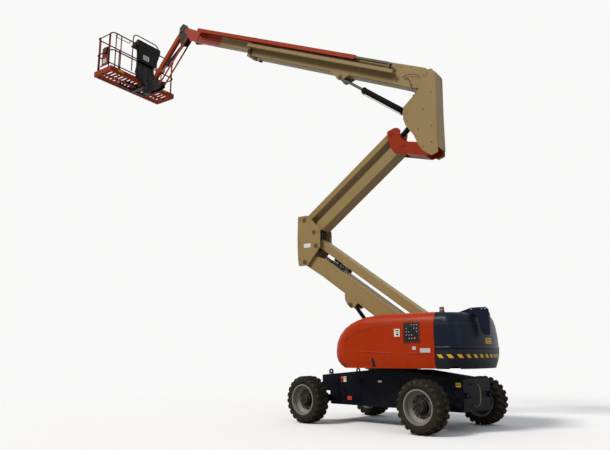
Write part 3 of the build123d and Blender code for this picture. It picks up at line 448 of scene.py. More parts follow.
hood_orange = finished(
    "hood_orange", (164, 45, 2), 0.38, dust=0.06, scuff=0.12, coat=0.04, bump=0.05, grain=160,
    specular=0.08)
crease_shade = finished("crease_shade", (92, 24, 8), 0.5, dust=0.1)
boom_orange = finished("boom_orange", (158, 48, 8), 0.42, dust=0.08, scuff=0.1, specular=0.1)
bracket_orange = finished(
    "bracket_orange", (146, 40, 6), 0.42, dust=0.1, scuff=0.14, specular=0.1)
jib_orange = finished("jib_orange", (152, 50, 10), 0.45, dust=0.1, scuff=0.16, specular=0.1)
rail_orange = finished("rail_orange", (110, 34, 18), 0.45, dust=0.08, scuff=0.2, specular=0.1)
deck_orange = finished("deck_orange", (150, 46, 6), 0.5, dust=0.1, scuff=0.22, specular=0.1)
boom_cream = finished(
    "boom_cream", CREAM, 0.42, dust=0.1, scuff=0.1, drift=0.12, specular=0.14)
riser_cream = finished(
    "riser_cream", (148, 124, 80), 0.42, dust=0.1, scuff=0.14, drift=0.14, specular=0.14)
fly_paint = finished("fly_paint", CREAM, 0.42, dust=0.12, scuff=0.1, recolour=fly_colours)
tail_blue = finished(
    "tail_blue", (14, 22, 40), 0.36, dust=0.02, scuff=0.1, coat=0.04, bump=0.05, specular=0.1)
cast_blue = finished("cast_blue", (12, 15, 24), 0.5, dust=0.03, scuff=0.15, bump=0.25, grain=70)
frame_navy = finished("frame_navy", (7, 10, 21), 0.48, dust=0.03, scuff=0.2, specular=0.1)
part_black = finished("part_black", (14, 15, 17), 0.42, dust=0.08, scuff=0.1)
console_grey = finished(
    "console_grey", (9, 9, 9), 0.6, dust=0.0, scuff=0.1, specular=0.15, bump=0.2, grain=400)
tyre_rubber = finished(
    "tyre_rubber", (30, 28, 25), 0.85, dust=0.1, scuff=0.05, drift=0.2, bump=0.35, grain=300,
    dust_colour=(70, 62, 48), specular=0.1, recolour=settled_dirt)
rim_grey = finished(
    "rim_grey", (122, 122, 120), 0.42, dust=0.25, scuff=0.2, metal=0.1, bump=0.1)
disc_grey = finished("disc_grey", (72, 71, 69), 0.5, dust=0.2, scuff=0.25, bump=0.12)
hub_black = finished("hub_black", (15, 15, 15), 0.5, dust=0.06, scuff=0.2)
chrome = finished(
    "chrome_rod", (118, 120, 122), 0.22, dust=0.03, scuff=0.02, drift=0.03, metal=1.0, bump=0.01,
    specular=0.5)
zinc = finished("zinc_bolt", (96, 88, 72), 0.42, dust=0.2, scuff=0.2, metal=0.7, specular=0.4)
hose_rubber = finished(
    "hose_rubber", (20, 20, 21), 0.5, dust=0.1, scuff=0.05, bump=0.15, grain=500)
chain_grey = finished("chain_grey", (104, 96, 78), 0.6, dust=0.3, scuff=0.2, bump=0.2)
chain_dark = finished("chain_dark", (48, 46, 42), 0.6, dust=0.2, scuff=0.2)
pin_brown = finished("pin_brown", (86, 66, 42), 0.5, dust=0.2, scuff=0.2)
steel_pale = finished("steel_pale", (188, 188, 182), 0.4, dust=0.15, scuff=0.15)
amber = finished(
    "amber_lens", (96, 44, 22), 0.3, dust=0.05, scuff=0.0, coat=0.3, specular=0.5)
white_label = finished("white_label", (222, 220, 210), 0.5, dust=0.05, scuff=0.1)
yellow_label = finished("yellow_label", (214, 168, 36), 0.5, dust=0.06, scuff=0.2)
red_label = finished("red_label", (196, 70, 30), 0.5, dust=0.06, scuff=0.1)

NODES_OF = (
    (frame_navy, "chassis_frame steer_axle drive_axle tie_down_lugs turntable_frame"),
    (part_black,
     "slew_ring steer_knuckle_left steer_knuckle_right engine_block control_box "
     "level_cylinder boom_tip platform_support platform_swivel tower_cylinder_barrel "
     "boom_cylinder_barrel jib_cylinder_barrel"),
    (cast_blue, "counterweight"),
    (tail_blue, "tail_cover tail_guard"),
    (amber, "beacon"),
    (hood_orange, "hood_left hood_right"),
    (riser_cream, "lower_riser lower_riser_link riser_knuckle upper_riser upper_riser_link"),
    (boom_cream, "upright base_boom"),
    (bracket_orange, "upright_bracket"),
    (chain_grey, "cable_carrier"),
    (boom_orange, "carrier_tray"),
    (fly_paint, "fly_boom"),
    (jib_orange, "jib_boom jib_link"),
    (deck_orange, "platform_floor"),
    (rail_orange, "platform_rails platform_gate"),
    (console_grey, "platform_console"),
    (chrome, "tower_cylinder_rod boom_cylinder_rod jib_cylinder_rod"),
)
MATERIAL_OF = {node: mat for mat, members in NODES_OF for node in members.split()}
for name, obj in nodes.items():
    mat = MATERIAL_OF.get(name) or (tyre_rubber if name.startswith("tyre") else rim_grey)
    obj.data.materials.clear()
    obj.data.materials.append(mat)

BODY_OF = {node: body for body, members in frame["record"]["behaviour"]["bodies"].items() for node in members}
ROUNDED = (
    "hood_left hood_right tail_cover counterweight tail_guard beacon platform_rails platform_gate "
    "tower_cylinder_barrel tower_cylinder_rod boom_cylinder_barrel boom_cylinder_rod jib_cylinder_barrel "
    "jib_cylinder_rod level_cylinder slew_ring platform_console"
)
for name in ROUNDED.split():
    smooth_copy(name, BODY_OF[name], MATERIAL_OF[name])

# ------------------------------------------------------------------ wheels
RIM_RING = [
    (0.2, 0.0), (0.242, 0.02), (0.262, 0.034), (0.262, -0.14), (0.266, -0.158), (0.295, -0.158),
    (0.295, -0.1435), (0.2797, -0.1422), (0.2797, 0.1422), (0.295, 0.1435), (0.295, 0.158), (0.27, 0.158),
    (0.265, 0.14), (0.262, 0.06), (0.236, 0.038), (0.205, 0.017), (0.2, 0.016)]
RIM_DISC = [
    (0, 0), (0.2, 0), (0.2, 0.016), (0.19, 0.0165), (0.15, 0.0165), (0.144, 0.011), (0.128, 0.011), (0, 0.011)
]
# The carcass from the middle of the tread to the bead: share of the way, radius, share of the half width.
CARCASS = np.array([
    (0, 0.4235, 0), (0.5, 0.4225, 0.55), (0.66, 0.418, 0.76), (0.74, 0.408, 0.86), (0.8, 0.39, 0.93),
    (0.88, 0.35, 0.975), (0.95, 0.318, 0.93), (1.0, 0.2985, 0.86),
])
BEAD_R, BEAD_Y = 0.284, 0.146
LUGS, LUG_HIGH, LUG_OUT, LUG_SHARE, LUG_SLANT, SHOULDER = 22, 0.0295, 0.0042, 0.285, 0.55, 0.8
EDGE = 90  # how sharply a lug rises
RIB_AT, RIB_WIDE, RIB_HIGH = 0.905, 0.01, 0.003


def rise(x):
    """0 to 1 over a step at 0: 1 / (1 + exp(-EDGE x))."""
    return 1 / (1 + np.exp(-x * EDGE))


def tyre(name, centre, side, body, node):
    """Lugged tyre. Radius is a rounded carcass over the width v, plus a lug height where a slanted wave of
    the angle and v is up. Each shoulder's wave is half a pitch off the other's, and the lugs run over it.
    The mask holds dirt between the lugs and along their worn edges."""
    turns, across = 704, 97
    a = np.linspace(0, 2 * pi, turns, endpoint=False)[:, None]
    v = np.linspace(-1, 1, across)[None, :]
    stops, radii, widths = CARCASS.T
    s = np.abs(v)
    r = np.interp(s, stops, radii) * np.ones_like(a)
    y = np.sign(v) * np.interp(s, stops, widths) * TYRE_HALF * np.ones_like(a)
    phase = (a * LUGS / (2 * pi) + 0.5 * (v > 0) + LUG_SLANT * np.minimum(s, 0.6)) % 1.0
    bar = rise(LUG_SHARE - np.abs(phase - 0.5))
    reach = rise(s - 0.05) / (1 + np.exp((s - SHOULDER) * EDGE))
    r = r + LUG_HIGH * bar * reach * np.clip((0.95 - s) / 0.28, 0.2, 1)
    y = y + np.sign(v) * LUG_OUT * bar * reach * (s > 0.62)
    r = r + RIB_HIGH * np.exp(-((s - RIB_AT) / RIB_WIDE) ** 2)
    points = np.stack([r * np.cos(a), y * side, r * np.sin(a)], -1) + np.asarray(centre)
    low, high = (
        np.stack([BEAD_R * np.cos(a), way * BEAD_Y * side + 0 * a, BEAD_R * np.sin(a)], -1) + np.asarray(centre)
        for way in (-1, 1))
    full = np.concatenate([low, points, high], 1)
    groove = np.clip(1 - bar, 0, 1) * (s < SHOULDER) + 0.35 * (s >= SHOULDER)
    edge = np.clip(4 * bar * (1 - bar), 0, 1) * reach
    mask = np.clip(np.pad(0.55 * groove + 0.75 * edge, ((0, 0), (1, 1)), mode="edge"), 0, 1)
    skin = on_chassis(full).reshape(-1, 3), [grid_faces(turns, across + 2, True, True)]
    make(name, body, tyre_rubber, skin, angle=60, replaces=(node,), mask=mask)


HUB = [
    (0, 0.012), (0.128, 0.012), (0.128, 0.02), (0.122, 0.062), (0.104, 0.07), (0.1, 0.1), (0.094, 0.105),
    (0.084, 0.112), (0, 0.112),
]
STUD = [
    (0, 0.011), (0.019, 0.011), (0.017, 0.019), (0.0135, 0.02), (0.0135, 0.032), (0.009, 0.034),
    (0.009, 0.048), (0, 0.048)]
VENT = [(0, 0.0168), (0.021, 0.0168), (0.021, 0.0172), (0, 0.0172)]
STUD_CIRCLE, CAP_CIRCLE, VENT_CIRCLE, CAP_OUT = 0.166, 0.068, 0.184, 0.112


def wheel_face(end, name, side, body):
    """The rim's ring and disc, the hub and its ring of studs, all turned about the axle."""
    axis = on_chassis([0, side, 0])
    face = on_chassis(np.array([WHEEL_X if end == "drive" else -WHEEL_X, side * WHEEL_Y, WHEEL_Z]))
    u = np.array(Vector(axis).orthogonal().normalized())
    v = np.cross(axis, u)

    def around(radius, turn):
        return face + radius * (cos(turn) * u + sin(turn) * v)

    tag = f"{end}_{name}"
    make(f"rim_ring_{tag}", body, rim_grey, lathe(RIM_RING, face, axis, 96), replaces=(f"rim_{tag}",))
    make(f"rim_disc_{tag}", body, disc_grey, lathe(RIM_DISC, face, axis, 96), replaces=(f"rim_{tag}",))
    make(f"hub_{tag}", body, hub_black, lathe(HUB, face, axis, 64), bevel=0.002)
    studs, caps = 2 * pi * np.arange(9) / 9, 2 * pi * (np.arange(8) + 0.5) / 8
    make(f"studs_{tag}", body, zinc,
         *[lathe(STUD, around(STUD_CIRCLE, t), axis, 6) for t in studs],
         *[hex_head(around(CAP_CIRCLE, t) + CAP_OUT * np.array(axis), axis, 0.008, 0.008) for t in caps])
    # Thin black discs on the rim's face at its vent holes: painted shade standing for the holes, which are not
    # cut.
    make(f"rim_vent_shade_{tag}", body, hub_black,
         *[lathe(VENT, around(VENT_CIRCLE, t), axis, 16) for t in studs + pi / 9])


for end, x in (("steer", -WHEEL_X), ("drive", WHEEL_X)):
    for name, side in (("left", 1), ("right", -1)):
        body = f"wheel_{end}_{name}"
        tyre(f"tread_{end}_{name}", (x, side * WHEEL_Y, WHEEL_Z), side, body, f"tyre_{end}_{name}")
        wheel_face(end, name, side, body)


# ------------------------------------------------------------------ hood and tail trim
# The covers in section: their widest line and how far they tuck in below it and roll over above it.
WIDEST_Z, COVER_HALF, TUCK, TUCK_RUN = 1.385, 1.05, 0.015, 0.31
ROLL_RUN, ROOF_HALF, ROLL_OUT = 0.675, 0.86, 0.19
RIDGE_Z, RIDGE_R, TAIL_TUCK, TAIL_TUCK_RUN = 1.4, 2.044, 0.076, 0.33
TAIL_ROLL_RUN, TAIL_ROOF_R, TAIL_ROLL_OUT = 0.645, 1.82, 0.224
TAIL_CORNER, TAIL_SEAM_X = 0.3, -1.358


def side_half(z):
    """Half width of the covers at height z: a parabola below the widest line, a sixth-power roll above."""
    s = np.clip((z - WIDEST_Z) / ROLL_RUN, 0, 1)
    below = COVER_HALF - TUCK * ((WIDEST_Z - z) / TUCK_RUN) ** 2
    return np.where(z <= WIDEST_Z, below, ROOF_HALF + ROLL_OUT * np.sqrt(1 - s**6))


def tail_radius(z):
    """The tail's radius about the slewing axis at height z: a parabola below its ridge, a rounded roof."""
    s = np.clip((z - RIDGE_Z) / TAIL_ROLL_RUN, 0, 1)
    below = RIDGE_R - TAIL_TUCK * ((RIDGE_Z - z) / TAIL_TUCK_RUN) ** 2
    return np.where(z <= RIDGE_Z, below, TAIL_ROOF_R + TAIL_ROLL_OUT * (1 - s**1.5) ** 0.25)


def hood_bead(points, width, lift, side=1, count=40):
    """A rounded bead laid on the cover's side. Across it v runs -1 to 1: height w v in the side view, and
    the surface y(z) + lift (1 - v^2), with its edges tucked under the skin."""
    line = smooth_path([(x, 0, z) for x, z in points], count)
    run = np.gradient(line, axis=0)
    run /= np.linalg.norm(run, axis=1)[:, None]
    v = np.linspace(-1, 1, 7)[None, :]
    x = line[:, None, 0] - run[:, None, 2] * v * width / 2
    z = line[:, None, 2] + run[:, None, 0] * v * width / 2
    ends = np.clip(np.minimum(np.arange(len(line)), np.arange(len(line))[::-1]) / 4, 0, 1)[:, None]
    top = side_half(z) + (lift + 0.0015) * (1 - v**2) * ends - 0.0015
    base = side_half(z) - 0.003 + 0 * x
    n = len(line)
    upper = np.stack([x, side * top, z], -1)
    lower = np.stack([x[:, ::-1], side * base[:, ::-1], z[:, ::-1]], -1)
    points = np.concatenate([upper, lower], 1)
    cols = points.shape[1]
    return points.reshape(-1, 3), [grid_faces(n, cols, wrap_cols=True), end_caps(n, cols)]


def side_patch(x0, x1, z0, z1, lift=0.002, side=1):
    """A thin plate that follows the cover's side between two x and two z."""
    x, z = np.meshgrid(np.linspace(x0, x1, 3), np.linspace(z0, z1, 33), indexing="ij")
    outer = np.stack([x, side * (side_half(z) + lift), z], -1)
    inner = np.stack([x, side * (side_half(z) - 0.004), z], -1)
    rows = np.concatenate([outer, inner[:, ::-1]], 1)
    n = rows.shape[1]
    return rows.reshape(-1, 3), [grid_faces(3, n, wrap_cols=True), end_caps(3, n)]


def tail_edge(z, lift=0.0):
    """Plan curve of the tail at height z from the left seam round the back to the right, with its length: a
    straight side, a corner arc, the arc about the slewing axis, and the mirror of the first two."""
    half, radius = float(side_half(np.array(z))), float(tail_radius(np.array(z)))
    cx, cy = -sqrt((radius - TAIL_CORNER) ** 2 - (half - TAIL_CORNER) ** 2), half - TAIL_CORNER
    turn = atan2(cy, cx)
    t = np.linspace(pi / 2, turn, 24)
    corner = np.column_stack([cx + (TAIL_CORNER + lift) * np.cos(t), cy + (TAIL_CORNER + lift) * np.sin(t)])
    t = np.linspace(turn, 2 * pi - turn, 120)[1:-1]
    back = (radius + lift) * np.column_stack([np.cos(t), np.sin(t)])
    start, end = [(TAIL_SEAM_X, half + lift)], [(TAIL_SEAM_X, -half - lift)]
    line = np.vstack([start, corner, back, corner[::-1] * (1, -1), end])
    return line, np.concatenate([[0], np.cumsum(np.hypot(*np.diff(line, axis=0).T))])


def tail_patch(s0, s1, z0, z1, slant=0.0, lift=0.002, cols=24, crown=0.0):
    """A thin plate on the tail between lengths s0 and s1 round it and heights z0 and z1. The top is moved on
    by slant, and the middle stands out by crown (1 - v^2)."""
    rows = []
    for v in np.linspace(0, 1, 5):
        z = z0 + (z1 - z0) * v
        s = np.linspace(s0, s1, cols) + slant * v
        pair = []
        for out in (lift + crown * (1 - (2 * v - 1) ** 2), -0.004):
            line, length = tail_edge(z, out)
            plain = tail_edge(z)[1]
            s_here = s * length[-1] / plain[-1]
            x, y = (np.interp(s_here, length, line[:, k]) for k in (0, 1))
            pair.append(np.column_stack([x, y, np.full(cols, z)]))
        rows.append(pair)
    outer = np.stack([p[0] for p in rows], 1)
    inner = np.stack([p[1] for p in rows], 1)[:, ::-1]
    ring = np.concatenate([outer, inner], 1)
    n = ring.shape[1]
    return ring.reshape(-1, 3), [grid_faces(cols, n, wrap_cols=True), end_caps(cols, n)]


SIDES = ((1, "left"), (-1, "right"))
BOTH = (1, -1)
# Pressed lines in each hood: the (x, z) they run through, their width and their height above the skin.
HOOD_CREASES = (
    ([(0.476, 1.569), (0.3, 1.67), (0.044, 1.769), (-0.25, 1.822), (-0.561, 1.85)], 0.016, 0.001),
    ([(-1.1, 1.826), (-1.22, 1.838), (-1.333, 1.854)], 0.014, 0.001),
    ([(0.444, 1.206), (0.0, 1.176), (-0.662, 1.151)], 0.012, 0.001),
    ([(0.42, 1.392), (0.0, 1.36), (-0.552, 1.322)], 0.012, 0.0008),
    ([(-0.8, 1.327), (-1.0, 1.322), (-1.336, 1.322)], 0.012, 0.0008),
)
HOOD_RIBS = (
    ([(0.5, 1.383), (0.1, 1.374), (-0.552, 1.34)], 0.022, 0.004),
    ([(-0.785, 1.341), (-1.0, 1.338), (-1.336, 1.338)], 0.022, 0.004),
    ([(-0.79, 1.32), (-0.82, 1.2), (-0.85, 1.09)], 0.014, 0.003),
    ([(-0.69, 1.5), (-0.86, 1.498), (-1.06, 1.494)], 0.014, 0.003),
)
SEAM_EDGE = ([(-1.338, 1.09), (-1.338, 1.4), (-1.338, 1.7), (-1.338, 1.9)], 0.01, 0.0008)
LATCH = [(-0.085, 1.262), (-0.142, 1.262), (-0.178, 1.106), (-0.122, 1.106)]
LATCH_IN, LATCH_OUT = 1.03, 1.0497
# Patches on the hood: x0, x1, z0, z1.
HOOD_VENTS = ((-0.995, -0.925, 1.396, 1.456), (-1.265, -1.07, 1.35, 1.424))
LABEL_PRINT = ((-0.672, -0.598, 1.735, 1.752), (-0.672, -0.612, 1.705, 1.717), (-0.665, -0.62, 1.655, 1.688))

for side, tag in SIDES:
    body = "hood_" + tag
    make("hood_creases_" + tag, body, crease_shade, *[hood_bead(*bead, side) for bead in HOOD_CREASES])
    make("hood_ribs_" + tag, body, hood_orange, *[hood_bead(*bead, side) for bead in HOOD_RIBS])
    make("hood_latch_" + tag, body, part_black,
         plate(LATCH, *sorted((side * LATCH_IN, side * LATCH_OUT))), bevel=0.004)
    make("hood_vents_" + tag, body, steel_pale,
         *[side_patch(*edges, 0.003, side) for edges in HOOD_VENTS], bevel=0.0012)
    make("hood_edge_" + tag, body, crease_shade, hood_bead(*SEAM_EDGE, side))
make("hood_label", "hood_left", white_label, side_patch(-0.69, -0.58, 1.636, 1.772, 0.0015))
make("hood_label_print", "hood_left", console_grey, *[side_patch(*edges, 0.0022) for edges in LABEL_PRINT])

# A black strip laid on the tail along its groove line: painted shade of the groove, not a cut.
make("tail_groove_painted_shade", "turntable", part_black, tail_patch(0.006, 3.85, 1.832, 1.85, 0, 0.0012, 90))
make("tail_ridge", "turntable", tail_blue, tail_patch(0.006, 4.25, 1.404, 1.452, 0, 0.0, 110, crown=0.01))
make("hazard_band", "turntable", part_black, tail_patch(0.004, 4.16, 1.25, 1.324, 0, 0.0012, 110))
STRIPE_STARTS, STRIPE_LONG, STRIPE_SLANT = np.arange(0.03, 4.05, 0.176) + 0.04, 0.08, -0.05
make("hazard_stripes", "turntable", yellow_label,
     *[tail_patch(s, s + STRIPE_LONG, 1.256, 1.318, STRIPE_SLANT, 0.0022, 6) for s in STRIPE_STARTS])
make("tail_label", "turntable", yellow_label, tail_patch(1.12, 1.36, 1.5, 1.6, 0, 0.0015, 8))
make("tail_label_print", "turntable", part_black,
     tail_patch(1.15, 1.33, 1.562, 1.58, 0, 0.0022, 8), tail_patch(1.15, 1.3, 1.52, 1.534, 0, 0.0022, 8))
GUARD_BOLTS = [(-1.84, 2.105), (-2.03, 2.11), (-2.09, 2.108)]
make("guard_bolts", "turntable", steel_pale,
     *[hex_head((x, 0.4812, z), (0, 1, 0), 0.01, 0.009) for x, z in GUARD_BOLTS])
BEACON_FOOT = [(0, 2.046), (0.0521, 2.046), (0.0521, 2.066), (0.046, 2.072), (0, 2.072)]
make("beacon_base", "turntable", part_black, lathe(BEACON_FOOT, (-1.412, 0.79, 0), (0, 0, 1), 40))

# The left hood's skin is closed over the control box, and the ground controls are in a framed plate behind.
make("hood_infill", "hood_left", hood_orange, side_patch(-0.893, -0.537, 1.592, 1.968, 0.0006))
PANEL_X0, PANEL_X1, PANEL_Z0, PANEL_Z1 = -1.058, -0.782, 1.54, 1.87
make("panel_face", "hood_left", part_black,
     side_patch(PANEL_X0 + 0.002, PANEL_X1 - 0.002, PANEL_Z0 + 0.002, PANEL_Z1 - 0.002, 0.0012))
LAP, LIP, TOP_LIP = 0.004, 0.022, 0.024  # the frame laps over the plate and stands out round it
frame_x, frame_z = (PANEL_X0 - LIP, PANEL_X1 + LIP), (PANEL_Z0 - LIP, PANEL_Z1 + TOP_LIP)
FRAME_BARS = (
    (*frame_x, PANEL_Z1 - LAP, frame_z[1]), (*frame_x, frame_z[0], PANEL_Z0 + LAP),
    (frame_x[0], PANEL_X0 + LAP, *frame_z), (PANEL_X1 - LAP, frame_x[1], *frame_z),
)
make("panel_frame", "hood_left", crease_shade,
     *[side_patch(*edges, 0.007) for edges in FRAME_BARS], bevel=0.002)
KNOB = [(0, -0.004), (0.0085, -0.004), (0.008, 0.006), (0.004, 0.008), (0.004, 0.016), (0, 0.018)]
KEY = [(0, -0.004), (0.014, -0.004), (0.014, 0.008), (0.018, 0.012), (0.018, 0.018), (0, 0.022)]
# Rows j and columns i of a five by five grid, with two places left bare in each row.
knobs = [(-0.825 - 0.05 * i, 1.835 - 0.06 * j)
         for j in range(5) for i in range(5) if (i * 3 + j * 2) % 5 not in (0, 3)]
make("panel_knobs", "hood_left", white_label,
     *[lathe(KNOB, (x, float(side_half(np.array(z))), z), (0, 1, 0), 14) for x, z in knobs])
make("panel_key", "hood_left", red_label, lathe(KEY, (-0.99, 1.048, 1.6), (0, 1, 0), 28))
GUARD_FACE = [
    (-1.56, 2.046), (-1.6, 2.062), (-1.844, 2.135), (-2.1, 2.138), (-2.151, 2.09), (-2.15, 1.655),
    (-2.085, 1.65), (-2.03, 1.66), (-1.985, 1.75), (-1.945, 1.94), (-1.88, 2.02), (-1.78, 2.05),
]
make("guard_face", "turntable", tail_blue, plate(GUARD_FACE, 0.47, 0.4815), bevel=0.004)


# ------------------------------------------------------------------ repeated fittings
def as_given(p):
    return np.asarray(p, float)


def side_heads(spots, y, radius, height, place=as_given, head=hex_head):
    """Heads on both side faces, at y to the left and to the right: a pair for each (x, z) of the spots."""
    return [
        head(place([x, side * y, z]), place([0, side, 0]) - place([0, 0, 0]), radius, height)
        for x, z in spots for side in BOTH
    ]


def side_pins(spots, y, radius, height):
    return side_heads(spots, y, radius, height, head=pin_head)


def mirrored(inner, outer):
    """The two y ranges of a strip on the left face and of its mirror on the right."""
    return (inner, outer), (-outer, -inner)


def hose_row(line, across, radius, place=as_given, sides=12):
    """Hoses side by side: the smooth curve through the (x, z) of the line, at each y of across."""
    return [pipe(place(smooth_path([(x, y, z) for x, z in line])), radius, sides) for y in across]


# ------------------------------------------------------------------ chassis trim
def chassis_plate(x0, x1, z0, z1, y=0.4902, thick=0.003):
    return bar_block((x0, y - 0.001, z0), (x1, y + thick, z1), on_chassis)


PRINT_Y = 0.4925
make("frame_labels_pale", "chassis", white_label,
     chassis_plate(0.8, 0.872, 0.785, 0.89), chassis_plate(-0.09, 0.004, 0.796, 0.834))
make("frame_labels_red", "chassis", red_label,
     chassis_plate(0.874, 0.942, 0.785, 0.89), chassis_plate(0.67, 0.78, 0.44, 0.512))
make("frame_labels_yellow", "chassis", yellow_label, chassis_plate(-1.78, -1.685, 0.765, 0.835))
FRAME_PRINT = (
    (0.812, 0.862, 0.86, 0.872), (0.812, 0.85, 0.835, 0.845), (0.886, 0.93, 0.8, 0.84),
    (-1.765, -1.7, 0.79, 0.81))
make("frame_print", "chassis", part_black, *[chassis_plate(*edges, PRINT_Y) for edges in FRAME_PRINT])
make("frame_weld_ribs", "chassis", frame_navy,
     *[bar_block((x, y0, 0.36), (x + 0.012, y1, 0.86), on_chassis)
       for x in (-1.05, -0.52, 0.42, 1.02) for y0, y1 in mirrored(0.489, 0.501)],
     *[bar_block((-1.78, y0, 0.352), (1.22, y1, 0.37), on_chassis) for y0, y1 in mirrored(0.489, 0.506)],
     bevel=0.002)
FRAME_BOLTS = [(x, z) for x in (-1.7, -1.62) for z in (0.45, 0.6, 0.75)]
FRAME_BOLTS += [(1.3, 0.66), (1.3, 0.84), (1.4, 0.66), (1.4, 0.84)]
make("frame_bolts", "chassis", part_black, *side_heads(FRAME_BOLTS, 0.49, 0.014, 0.011, on_chassis))
RING_BOLT_R, RING_BOLT_Z = 0.535, 1.04
ring_turns = 2 * pi * np.arange(36) / 36
make("ring_bolts", "chassis", part_black,
     *[hex_head((RING_BOLT_R * cos(t), RING_BOLT_R * sin(t), RING_BOLT_Z), (0, 0, 1), 0.013, 0.012)
       for t in ring_turns])
HOOP = [
    (-1.812, 0.16, 0.8), (-1.9, 0.17, 0.82), (-1.965, 0.18, 0.74), (-1.965, 0.18, 0.52),
    (-1.9, 0.17, 0.43), (-1.812, 0.16, 0.45)]
make("rear_hose_hoop", "chassis", chain_grey, pipe(on_chassis(smooth_path(HOOP)), 0.01))


def axle_hose(x, way, side):
    """A brake hose from the frame's side down to the wheel motor."""
    return smooth_path([
        (x, side * 0.48, 0.62), (x + 0.05 * way, side * 0.6, 0.66), (x + 0.08 * way, side * 0.72, 0.6),
        (x + 0.06 * way, side * 0.8, 0.53),
    ])


make("axle_hoses", "chassis", hose_rubber,
     *[pipe(on_chassis(axle_hose(x, way, side)), 0.012)
       for x, way in ((-1.37, 1), (1.37, -1)) for side in BOTH])

# ------------------------------------------------------------------ risers, knuckle and upright
KNUCKLE_PINS = [
    (LOW_TOP[0], LOW_TOP[2]), (LOW_TOP[0] + LOW_LINK_OFF[0], LOW_TOP[2] + LOW_LINK_OFF[1]),
    (UP_PIN[0], UP_PIN[2]), (UP_LINK_PIN[0], UP_LINK_PIN[2]),
]
make("knuckle_pins", "riser_knuckle", pin_brown, *side_pins(KNUCKLE_PINS, 0.2445, 0.034, 0.02))
KNUCKLE_BOLTS = [
    (2.1, 4.33), (1.93, 4.34), (2.1, 3.8), (2.11, 3.42), (1.9, 3.32), (1.62, 3.64), (1.6, 3.98)]
make("knuckle_bolts", "riser_knuckle", zinc, *side_heads(KNUCKLE_BOLTS, 0.244, 0.015, 0.01))
make("knuckle_label", "riser_knuckle", white_label, bar_block((1.8, 0.2435, 3.66), (1.98, 0.2465, 3.75)))
LOW_PINS = [(LOW_PIN[0], LOW_PIN[2]), TOWER_EYE]
make("low_pins", "lower_riser", pin_brown, *side_pins(LOW_PINS, 0.18, 0.034, 0.018))
make("low_ribs", "lower_riser", riser_cream,
     *[bar_block((0.5, y0, z), (2.55, y1, z + 0.014), on_low)
       for z in (0.02, 0.27) for y0, y1 in mirrored(0.179, 0.184)], bevel=0.0015)
# Hoses clear of the link, which closes on the riser as the tower comes down: x, and the rise off their own z.
LOW_HOSE = [(2.7, 0.008), (2.62, 0.006), (2.5, 0.002), (2.36, 0), (2.16, 0)]
make("low_hoses", "lower_riser", hose_rubber,
     *[hose for y in (-0.1605, 0.1605) for z in (0.34, 0.368)
       for hose in hose_row([(x, z + rise) for x, rise in LOW_HOSE], [y], 0.0135, on_low)])
make("hose_clamps", "lower_riser", part_black,
     *[bar_block((x, y, 0.322), (x + 0.04, y + 0.032, 0.388), on_low)
       for x in (2.2, 2.52) for y in (-0.1765, 0.1445)], bevel=0.003)
KNUCKLE_HOSE = [(1.74, 3.62), (1.64, 3.8), (1.6, 3.98), (1.62, 4.1)]
make("knuckle_hoses", "riser_knuckle", hose_rubber,
     *hose_row(KNUCKLE_HOSE, (-0.08, -0.03, 0.03, 0.08), 0.018))

UPRIGHT_BOLTS = [
    (-0.606, 6.092), (-0.991, 6.265), (-1.142, 5.516), (-0.95, 5.457), (-1.161, 5.863), (-0.867, 5.853),
    (-1.18, 6.6), (-0.8, 6.62),
]
make("upright_bolts", "upright", zinc, *side_heads(UPRIGHT_BOLTS, 0.1918, 0.014, 0.011))
UPRIGHT_PINS = (((BOOM_PIN[0], BOOM_PIN[2]), 0.044), (BOOM_CYL, 0.034))
make("upright_pins", "upright", pin_brown,
     *[head for spot, radius in UPRIGHT_PINS for head in side_pins([spot], 0.1905, radius, 0.009)])
# Hoses on the plates' outer faces, thin enough for the tray to pass: x and z, then y.
UPRIGHT_HOSES = (
    ([(-0.56, 7.085), (-0.64, 7.115), (-0.76, 7.11), (-0.87, 7.07), (-0.955, 7.025)], 0.197),
    ([(-0.606, 7.085), (-0.668, 7.06), (-0.715, 6.988), (-0.748, 6.88), (-0.79, 6.74), (-0.852, 6.651)],
     0.197),
    ([(-0.606, 7.085), (-0.7, 7.02), (-0.748, 6.88), (-0.852, 6.651)], -0.197),
)
make("upright_hoses", "upright", hose_rubber, *[hose_row(line, [y], 0.006)[0] for line, y in UPRIGHT_HOSES])
FITTING = [(0, -0.012), (0.0075, -0.012), (0.0075, 0.012), (0, 0.012)]
FITTING_AIMS = ((-0.955, 7.025, (1, 0, 0.4)), (-0.852, 6.651, (0.55, 0, -0.8)))
make("hose_fittings", "upright", zinc,
     *[lathe(FITTING, (x, 0.1955, z), aim, 6) for x, z, aim in FITTING_AIMS])


# ------------------------------------------------------------------ boom
def boom_box(x0, x1, y0, y1, z0, z1):
    return bar_block((x0, y0, z0), (x1, y1, z1), on_boom)


make("boom_ribs", "base_boom", boom_cream,
     *[boom_box(0.75, 5.1, y0, y1, z, z + 0.012)
       for z in (-0.205, -0.15) for y0, y1 in mirrored(0.1495, 0.1545)],
     *[boom_box(x, x + 0.012, y0, y1, -0.33, 0.13)
       for x in (4.4, 5.05) for y0, y1 in mirrored(0.1495, 0.156)], bevel=0.0015)
make("collar_fittings", "base_boom", part_black,
     *[boom_box(5.175, 5.272, y0, y1, -0.265, -0.165) for y0, y1 in mirrored(0.171, 0.215)],
     *[boom_box(4.96, 5.06, y0, y1, -0.378, -0.334) for y0, y1 in mirrored(0.09, 0.135)], bevel=0.004)
COLLAR_BOLTS = [(5.2, -0.3), (5.25, -0.3), (5.2, -0.1), (5.25, -0.1), (5.2, 0.1), (5.25, 0.1)]
make("collar_bolts", "base_boom", zinc, *side_heads(COLLAR_BOLTS, 0.172, 0.011, 0.012, on_boom))
make("boom_lug_pins", "base_boom", pin_brown, *side_pins([BOOM_EYE], 0.1562, 0.038, 0.02))
BASE_BOLTS = [(0.62, 0.06), (0.62, -0.26), (0.22, -0.28), (0.4, 0.08)]
